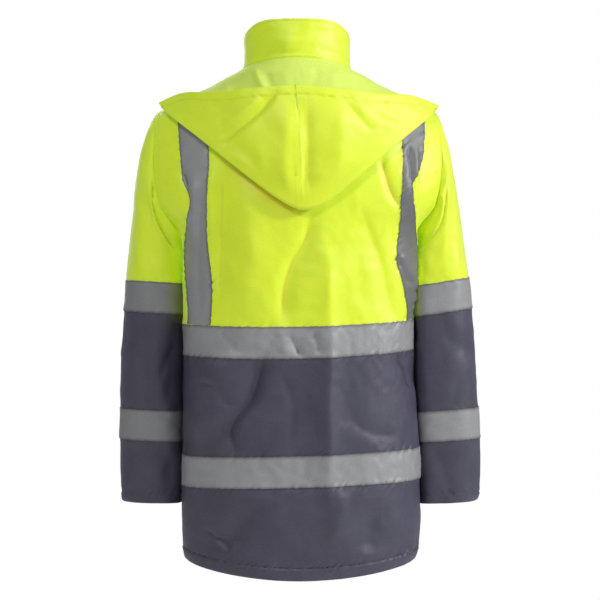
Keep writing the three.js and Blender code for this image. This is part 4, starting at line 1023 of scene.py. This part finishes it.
for side in ("left", "right"):
    sleeve = SleeveForm(side)
    rows = np.concatenate([
        np.linspace(-1, -0.9, 10),
        np.linspace(-0.9, 0, 44)[1:],
        np.linspace(0, 1, 15)[1:],
        np.linspace(1, SLEEVE_JOIN - JOIN_GAP, 11)[1:],
    ])
    p, n, turn = sleeve.grid(rows, 116)
    at_seam = (1 - smooth(rows, -1, -0.9))[:, None, None]
    inner = mix(p - n * CLOTH, p - sleeve.on_seam(sleeve.mitre, turn) * CLOTH, at_seam)
    outer = p - n * (SEAM_SINK * np.exp(-(rows + 1) * HEAD_LENGTH / SEAM_WIDE))[:, None, None]
    upper, lower = f"sleeve_upper_{side}", f"sleeve_lower_{side}"
    cloth_piece(upper, outer, inner, [yellow_cloth], tube=True)
    rows = np.concatenate([
        np.linspace(SLEEVE_JOIN + JOIN_GAP, 2, 9),
        np.linspace(2, 6, 100)[1:],
        np.linspace(6, CUFF_BEND, 14)[1:],
        CUFF_BEND + (SLEEVE_ROW["cuff"] - CUFF_BEND) * np.array(CUFF_BEND_ROWS),
    ])
    p, n, turn = sleeve.grid(rows, 108)
    from_edge = p[..., 2] - p[-1:, :, 2]
    tuck = round_edge(from_edge, CLOTH + TURNING_PLUMP)
    outer = p + n * (edge_relief(from_edge, CUFF_TURNING) - tuck)[..., None]
    inner = p - n * (CLOTH - tuck)[..., None]
    cloth_piece(lower, outer, inner, [grey_cloth], tube=True)
    for name, (top, foot) in {"upper": ("bandTop", "bandFoot"), "lower": ("cuffBandTop", "cuffBandFoot")}.items():
        rows = np.linspace(SLEEVE_ROW[top], SLEEVE_ROW[foot], 19)
        p, n, turn = sleeve.grid(rows, 112)
        from_edge = rows_from_edge(len(rows), 2.8, turn)
        p[..., 2] += rim_wave(turn * MM_PER_DEGREE + 0 * from_edge, from_edge, 96, 1)
        shade = SLEEVE_TAPE_SHADE[side]
        tape_piece(f"sleeve_tape_{name}_{side}", p, n, from_edge, shade, tube=True)
        for row in (SLEEVE_ROW[top] + STITCH_IN, SLEEVE_ROW[foot] - STITCH_IN):
            sleeve.stitches("tape_thread", row, TAPE_TOP)
    sleeve.stitches("grey_thread", SLEEVE_ROW["cuffStitch"] + 0.1, -SUNK_STITCH)

# The armhole topstitch: one row on the yokes, 12 mm in from the seam all round the armhole.
for side in ("left", "right"):
    swing = np.linspace(4, 356, 260)
    place, cut = armhole_at(swing)
    back = np.where(swing < 180, 1, -1)
    inward = ARMHOLE_STITCH / MM_PER_TURN * np.abs(sine(swing)) ** 0.5
    place = place - 0.16 * cosine(swing)
    turn = hand_of(side) * (90 - cut - back * inward)
    stitch_line("yellow_thread", form(place, turn), form_normal(place, turn))

# The collar: a padded stand, its top edge rounded and topstitched, sewn to the neck seam and open in
# front for the zip.
COLLAR = {
    "base": [0.5, 14.5, -45.5, 89, 84.5, -73.5, 2],
    "roll": [12, 27, -31, 86, 83, -75, 2.2],
    "middle": [34, 51, -4, 85.5, 80, -77, 3],
    "upper": [52, 70, 20, 86, 77.5, -79, 4.5],
    "top": [59, 78, 28, 83.5, 75, -79, 5.5],
}
COLLAR_CLOTH, COLLAR_TURNING, COLLAR_ROW, COLLAR_MM_PER_TURN = 3.0, 6.0, 9.0, 1.5
COLLAR_FOLDS = [
    [5, -1.6, 0, 0.3, (62, 16), (46, 22), (28, 28)],
    [6, -1.4, 0, 0.3, (-62, 20), (-44, 26), (-28, 30)],
    [6, -1.4, 0, 0.4, (72, 38), (62, 50), (52, 62)],
    [6, -1.4, 0, 0.4, (-72, 36), (-62, 50), (-56, 66)],
    [12, 1.6, 0, 0.6, (22, 22), (14, 44), (8, 62)],
    [12, -1.6, 0, 0.5, (-14, 24), (-20, 44), (-34, 62)],
    [7, 1.2, 0, 0.5, (46, 46), (10, 40), (-30, 46)],
    [6, -1.0, 0, 0.4, (40, 20), (0, 22), (-40, 20)],
]


def plain_collar(row, turn):
    row, turn = as_arrays(row, turn)
    z_side, z_back, z_front, half, back, front, flat = between(COLLAR, row)
    ring = between(RINGS, 0.0 * row)
    s, c = sine(turn), cosine(turn)
    depth = np.where(c > 0, back - ring[SIDE_DEPTH], ring[SIDE_DEPTH] - front)
    z = np.where(c > 0, mix(z_back, z_side, np.abs(s) ** flat), mix(z_side, z_front, c * c))
    return np.stack([ring[LEAN] + half * s, ring[SIDE_DEPTH] + depth * c, z], -1)


def collar(row, turn):
    row, turn = as_arrays(row, turn)
    p = plain_collar(row, turn)
    n = normal_of(plain_collar, row, turn, 1)
    x, z, along = p[..., 0], p[..., 2], turn * COLLAR_MM_PER_TURN
    move = fold_move(COLLAR_FOLDS, x, z) * smooth(row, 0.1, 0.8) + 0.35 * soft_noise(along, z, 16, 200)
    move = move * smooth(row, 0, 0.5) + pucker(along, (row - 0.25) * 12, 210, 5.0, 0.5) * smooth(row, 0, 0.3)
    move = move + pucker(along, (4 - row) * 10 - 6, 220, 4.0, 0.35) * smooth(4 - row, 0, 0.3)
    return p + n * move[..., None]


bend = 3.7 + 0.3 * np.array([0.3, 0.5, 0.7, 0.82, 0.9, 0.95, 0.985, 1.0])
rows = np.concatenate([np.linspace(0, 3.7, 30), bend])
edge = 180 - zip_edge(between(COLLAR, rows)[3])
turn = np.linspace(-1, 1, 181)[None] * edge[:, None]
p = collar(rows[:, None], turn)
n = outward(p)
from_top = (4 - rows)[:, None] * COLLAR_ROW + 0 * turn
tuck = round_edge(from_top, COLLAR_CLOTH + TURNING_PLUMP)
raised = 0.4 * smooth(from_top, 0.5, 2) * (1 - smooth(from_top, 4, 5.5))
sunk = raised - 0.8 * np.exp(-((from_top - COLLAR_TURNING) ** 2))
groove = -0.6 * np.exp(-rows[:, None] * 12 / 1.5)
outer, inner = p + n * (sunk + groove - tuck)[..., None], p - n * (COLLAR_CLOTH - tuck)[..., None]
cloth_piece("collar", outer, inner, [yellow_cloth])
turn = np.linspace(-170, 170, 260)
for row, lift in ((4 - COLLAR_TURNING / COLLAR_ROW, -0.7), (0.28, 0.05)):
    n = normal_of(collar, row + 0 * turn, turn, 1)
    stitch_line("yellow_thread", collar(row + 0 * turn, turn) + n * lift, n)

# The hood, let down on the back: one layer of cloth from the neck seam down the back, folded and brought
# up again to its free edge, as a wide pocket. A centre seam runs all along it, and a drawcord casing is
# stitched along the edge. Its inner face is paler than its outer one.
HOOD_CLOTH, HOOD_COLUMNS, HOOD_DEPTH, FAR_OFF = 1.6, 150, 1.5, 99.0
HOOD_SEAM_X, CASING = (-7.0, -1.0), 15.0
CASING_ROWS = [0.088, 0.077, 0.068, 0.06, 0.05, 0.04, 0.03, 0.02, 0.012, 0.007, 0.004, 0.002, 0]
NECK_TURN, NECK_START = 128.0, 0.1
SEAM_LIFT, FAR_LIFT, FAR_TIP_LIFT, LIFT_SHARE = 1.6, 6.0, 9.0, 0.2
TIP_X, TIP_Z = {1: 216.0, -1: -212.0}, {1: -68.0, -1: -72.0}
BOTTOM_X, BOTTOM_Z, BOTTOM_ROUND = -8.0, -226.0, 0.16
EDGE_X, EDGE_Z, EDGE_DROP = 4.0, -36.5, {1: 15.0, -1: 20.0}
EDGE_REACH, EDGE_LIFT, TIP_LIFT, TIP_BEND, TIP_START = 0.985, 48.0, 16.0, 5, 0.7
TIP_CORNER = {1: (3.0, 3.0, 3.5), -1: (-3.5, 3.0, 4.0)}
FOLD_RADIUS, TIP_RADIUS, BULGE = 5.5, 2.2, 9.0
HOOD_NEAR_FOLDS = [
    [14, 3.0, 0.2, 0.4, (18, -72), (21, -120), (22, -180), (16, -212)],
    [11, -3.8, 0, 0.3, (-10, -74), (-12, -120), (-12, -170), (-10, -214)],
    [18, 3.2, 0, 0.4, (-60, -62), (-62, -110), (-60, -160), (-44, -196)],
    [4.5, -3.2, 0.3, 0.2, (36, -50), (53, -71), (78, -94), (106, -116), (122, -128)],
    [12, 2.0, 0, 0.5, (56, -52), (84, -78), (124, -104)],
    [6, -1.8, 0, 0.3, (-70, -64), (-90, -84), (-110, -108)],
    [14, 1.6, 0, 0.6, (-84, -66), (-110, -86), (-150, -98)],
    [14, -2.0, 0, 0.6, (66, -160), (90, -140), (124, -110)],
    [4, -1.6, 0, 0.3, (-34, -216), (-46, -206), (-56, -196)],
    [7, -1.4, 0, 0.4, (148, -78), (168, -82), (192, -86)],
    [9, -1.6, 0, 0.5, (-120, -72), (-150, -84), (-182, -88)],
    [10, 1.4, 0, 0.5, (60, -196), (76, -176), (96, -150)],
]
HOOD_FAR_FOLDS = [
    [4, 3.4, -0.3, 0.25, (71, -6), (66, -22), (58, -38)],
    [5, -2.6, 0, 0.3, (80, -10), (76, -24), (68, -40)],
    [6, -2.0, 0, 0.4, (52, -12), (50, -26), (44, -40)],
    [8, 1.6, 0, 0.5, (28, -8), (22, -22), (16, -40)],
    [7, -1.8, 0, 0.4, (-26, -4), (-24, -20), (-18, -40)],
    [9, 1.6, 0, 0.5, (-56, -8), (-52, -24), (-44, -42)],
    [8, -1.8, 0, 0.4, (112, -36), (96, -40), (80, -46)],
    [8, -1.4, 0, 0.4, (-80, -20), (-104, -34), (-120, -44)],
]


def sided(table, u):
    return np.where(u > 0, table[1], table[-1])


def on_back(x, z):
    """The ring place and turn of the point of the plain back at x and z."""
    hand = np.where(x < 0, -1.0, 1.0)

    def is_short(place):
        return plain_form(place, hand * turn_at_x(place, x))[..., 2] > z

    place = halve(np.zeros_like(x), np.full_like(x, float(RING["hem"])), is_short)
    return place, hand * turn_at_x(place, x)


def hood_base(place, turn):
    p = plain_form(place, turn)
    n = normal_of(plain_form, place, turn, -1)
    return p + n * fold_move(FOLDS["back"], p[..., 0], p[..., 2])[..., None], n


u = np.linspace(-1, 1, HOOD_COLUMNS + 1)
near_tip = np.abs(u)
rounded = np.sqrt(u * u + BOTTOM_ROUND**2) - BOTTOM_ROUND
share = rounded / (math.sqrt(1 + BOTTOM_ROUND**2) - BOTTOM_ROUND)
fold_x, fold_z = mix(BOTTOM_X, sided(TIP_X, u), near_tip), mix(BOTTOM_Z, sided(TIP_Z, u), share)
fold_place, fold_turn = on_back(fold_x, fold_z)
far_lift = mix(FAR_LIFT, FAR_TIP_LIFT, u**4)


def hood_far(f):
    place = mix(NECK_START, fold_place, f)
    p, n = hood_base(place, mix(NECK_TURN * u, fold_turn, f))
    return p + n * mix(SEAM_LIFT, far_lift, smooth(f, 0, LIFT_SHARE))[..., None]


fold_base, fold_normal = hood_base(fold_place, fold_turn)
fold_start = fold_base + fold_normal * far_lift[:, None]
fold_down = fold_start - hood_far(0.97)
fold_down = unit(fold_down - fold_normal * dot(fold_down, fold_normal))
fold_radius = mix(FOLD_RADIUS, TIP_RADIUS, near_tip**3)[:, None]


def hood_turn(swing):
    out = fold_normal * fold_radius * (1 - math.cos(swing))
    return fold_start + out + fold_down * fold_radius * math.sin(swing)


bend = near_tip**TIP_BEND
edge_level = EDGE_Z - sided(EDGE_DROP, u) * near_tip
edge_x, edge_z = mix(EDGE_X, sided(TIP_X, u) * EDGE_REACH, near_tip), mix(edge_level, sided(TIP_Z, u), bend)
edge_base, edge_normal = hood_base(*on_back(edge_x, edge_z))
edge_normal[:, 2] *= bend
edge_normal = unit(edge_normal)
hood_edge = edge_base + edge_normal * mix(EDGE_LIFT, TIP_LIFT, near_tip**2)[:, None]
turned = hood_turn(math.pi)
tip = np.where((u > 0)[:, None], turned[-1] + TIP_CORNER[1], turned[0] + TIP_CORNER[-1])
hood_edge = mix(hood_edge, tip, smooth(near_tip, TIP_START, 1)[:, None])


def hood_near(f):
    swell = BULGE * math.sin(math.pi * f) * (1 - u * u)
    return mix(hood_turn(math.pi), hood_edge, f) + fold_normal * swell[:, None]


levels = [("far", f) for f in np.linspace(0, 1, 66)]
levels += [("turn", a) for a in np.linspace(0, math.pi, 12)[1:-1]]
levels += [("near", f) for f in np.concatenate([np.linspace(0, 0.9, 60), 1 - np.array(CASING_ROWS)])]
makers = {"far": hood_far, "turn": hood_turn, "near": hood_near}
grid = np.stack([makers[kind](value) for kind, value in levels])
near_share = np.array([value if kind == "near" else -1.0 for kind, value in levels])[:, None]
far_share = np.array([value if kind == "far" else -1.0 for kind, value in levels])[:, None]
n = grid_normals(grid)
x, z = grid[..., 0], grid[..., 2]
on_near = smooth(near_share, 0.0, 0.25) * (near_share >= 0)
on_far = smooth(far_share, 0.0, 0.1) * (far_share >= 0)
move = fold_move(HOOD_NEAR_FOLDS, x, z, HOOD_DEPTH) * on_near
move -= fold_move(HOOD_FAR_FOLDS, x, z) * on_far * (z > -60)
move += (1.0 * soft_noise(x, z, 30, 300) + 0.3 * soft_noise(x, z, 12, 301)) * on_near
seam_ridge = 0.8 * np.exp(-((x / 3.5) ** 2)) - 1.6 * np.exp(-((x / 1.1) ** 2))
move -= on_far * (z > -70) * (seam_ridge + 0.4 * soft_noise(x, z, 14, 330))
from_seam = np.where(near_share >= 0, x - mix(*HOOD_SEAM_X, np.clip(near_share, 0, 1)), FAR_OFF)
move += on_near * (0.9 * np.exp(-((from_seam / 4.5) ** 2)) - 1.5 * np.exp(-((from_seam / 1.0) ** 2)))
move += on_near * pucker(z, from_seam, 310, 5.0, 0.4)
height = np.linalg.norm(hood_edge - turned, axis=1)[None]
from_edge = np.where(near_share >= 0, (1 - near_share) * height, FAR_OFF)
move += pucker(x, from_edge - CASING, 320, 6.0, 1.3)
grid = grid + n * move[..., None]
n = grid_normals(grid)
casing = 0.5 * smooth(from_edge, 0.5, 3) * (1 - smooth(from_edge, CASING - 2.5, CASING - 0.6))
casing -= 0.7 * np.exp(-(((from_edge - CASING) / 1.1) ** 2))
half_thick = (HOOD_CLOTH / 2 - round_edge(from_edge, HOOD_CLOTH))[..., None]
outer, inner = grid + n * (half_thick + casing[..., None]), grid - n * half_thick
# The hood gets a quarter of the painted crease shade.
cloth_piece("hood", outer, inner, [yellow_cloth, hood_inside], creased=0.25)

near_rows = np.where(near_share[:, 0] >= 0)[0]
casing_at = 1 - CASING / height[0]
columns = range(4, HOOD_COLUMNS - 3)
line, up = (
    np.stack([along_line(casing_at[c], near_share[near_rows, 0], values[near_rows, c]) for c in columns])
    for values in (grid, n)
)
stitch_line("yellow_thread", line + up * (HOOD_CLOTH / 2 - 0.55), up)
for shift in (-4.0, 4.0):
    line, up = (
        np.stack([
            along_line(mix(*HOOD_SEAM_X, near_share[r, 0]) + shift, grid[r, :, 0], values[r]) for r in near_rows[2:-8]
        ])
        for values in (grid, n)
    )
    stitch_line("yellow_thread", line + up * HOOD_CLOTH / 2, up)

# The zip in the centre front: two woven tapes with moulded teeth that mesh, and a metal slider with its
# pull tab, which stay as the frame has them and get a cast metal finish.
ZIP_TAPE_LIFT, ZIP_TAPE_THICK, ZIP_TOP = -0.4, 1.2, 3.7
ZIP_TURN = {"body": 0.3, "collar": 0.35}
TOOTH_PITCH, TOOTH_HIGH = 1.45, 2.5
TOOTH_FOOT = np.array([[-0.6, -0.62, 0], [3.3, -0.62, 0], [3.3, 0.62, 0], [-0.6, 0.62, 0]])
TOOTH_FACES = np.array([[3, 2, 1, 0], [4, 5, 6, 7], [0, 1, 5, 4], [1, 2, 6, 5], [2, 3, 7, 6], [3, 0, 4, 7]])
# Its third colour is painted shade for its creases.
zip_tape = cloth_paint("zip_tape", (0.035, 0.032, 0.05), (0.05, 0.047, 0.07), (0.02, 0.018, 0.03), 0.7, 1400, 0.0002)


def zip_spine(step):
    """Points up the centre front at an even step, with their normals."""
    body_rows = np.linspace(RING["hem"], ZIP_TURN["body"], 300)
    collar_rows = np.linspace(ZIP_TURN["collar"], ZIP_TOP, 40)
    points = plain_form(body_rows, 180.0)
    normal = normal_of(plain_form, body_rows, 180.0 + 0 * body_rows, -1)
    points = points + normal * fold_move(FOLDS["front"], points[:, 0], points[:, 2])[:, None]
    points = np.concatenate([points, plain_collar(collar_rows, 180.0)])
    normals = np.concatenate([normal, normal_of(plain_collar, collar_rows, 180.0 + 0 * collar_rows, 1)])
    reach = lengths_along(points)
    at = np.arange(0, reach[-1], step)
    return along_line(at, reach, points), unit(along_line(at, reach, normals))


line, up = zip_spine(4.0)
width = np.linspace(-1, 1, 9)[None, :, None] * (ZIP_HALF - SEAM_GAP) * np.array([1, 0, 0])
outer = line[:, None] + up[:, None] * ZIP_TAPE_LIFT + width
inner = line[:, None] + up[:, None] * (ZIP_TAPE_LIFT - ZIP_TAPE_THICK) + width
cloth_piece("zip_tape", outer, inner, [zip_tape])

tooth = np.concatenate([TOOTH_FOOT, TOOTH_FOOT * [0.9, 0.8, 1] + [0.1, 0, TOOTH_HIGH]])
line, up = zip_spine(TOOTH_PITCH)
forward = unit(np.gradient(line, axis=0))
hand = np.where(np.arange(len(line)) % 2 == 0, 1.0, -1.0)[:, None, None]
sideways = np.array([1.0, 0, 0])[None, None] * tooth[None, :, :1] * hand
lift = ZIP_TAPE_LIFT + SEAM_GAP - 0.1
points = line[:, None] + sideways + forward[:, None] * tooth[None, :, 1:2] + up[:, None] * (tooth[None, :, 2:] + lift)
first = (np.arange(len(line)) * len(tooth))[:, None, None]
faces = np.where(hand > 0, TOOTH_FACES[None], TOOTH_FACES[None, :, ::-1]) + first
teeth_mesh = bpy.data.meshes.new("zip_teeth")
teeth_mesh.from_pydata((points.reshape(-1, 3) * MM).tolist(), [], faces.reshape(-1, 4).tolist())
teeth = add_object("zip_teeth", teeth_mesh)


def grained(name, color, rough, metal, scale, bump_depth):
    """A moulded or cast surface: fine grain in its bump and tone."""
    paint, tree, shader = new_paint(name, {"Roughness": rough, "Metallic": metal})
    grain = add_node(tree, "TexNoise", Scale=scale, Detail=4)
    tree.links.new(add_node(tree, "TexCoord").outputs["Object"], grain.inputs["Vector"])
    tones = add_node(tree, "ValToRGB")
    tones.color_ramp.elements[0].color = (*[c * 0.8 for c in color], 1)
    tones.color_ramp.elements[1].color = (*[min(1, c * 1.15) for c in color], 1)
    tree.links.new(grain.outputs["Fac"], tones.inputs[0])
    tree.links.new(tones.outputs[0], shader.inputs["Base Color"])
    bump = add_node(tree, "Bump", Distance=bump_depth)
    tree.links.new(grain.outputs["Fac"], bump.inputs["Height"])
    tree.links.new(bump.outputs[0], shader.inputs["Normal"])
    return paint


teeth_mesh.materials.append(grained("zip_teeth", (0.035, 0.035, 0.045), 0.4, 0.0, 900, 0.00003))
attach(teeth, "jacket")
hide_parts("zip_chain")
cast_metal = grained("zip_metal", (0.34, 0.34, 0.36), 0.32, 0.9, 500, 0.00004)
for node in ("zip_slider", "zip_pull_tab"):
    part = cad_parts[node]
    part.data.materials.clear()
    part.data.materials.append(cast_metal)

# The threads of all the stitched lines above, each colour as one piece.
thread_colors = {
    "yellow_thread": (0.50, 0.68, 0.02),
    "grey_thread": (0.028, 0.026, 0.045),
    "tape_thread": (0.07, 0.07, 0.075),
}
for thread, color in thread_colors.items():
    build_stitches(thread, stitch_rows[thread], grained(thread, color, 0.6, 0.0, 1500, 0.00002))
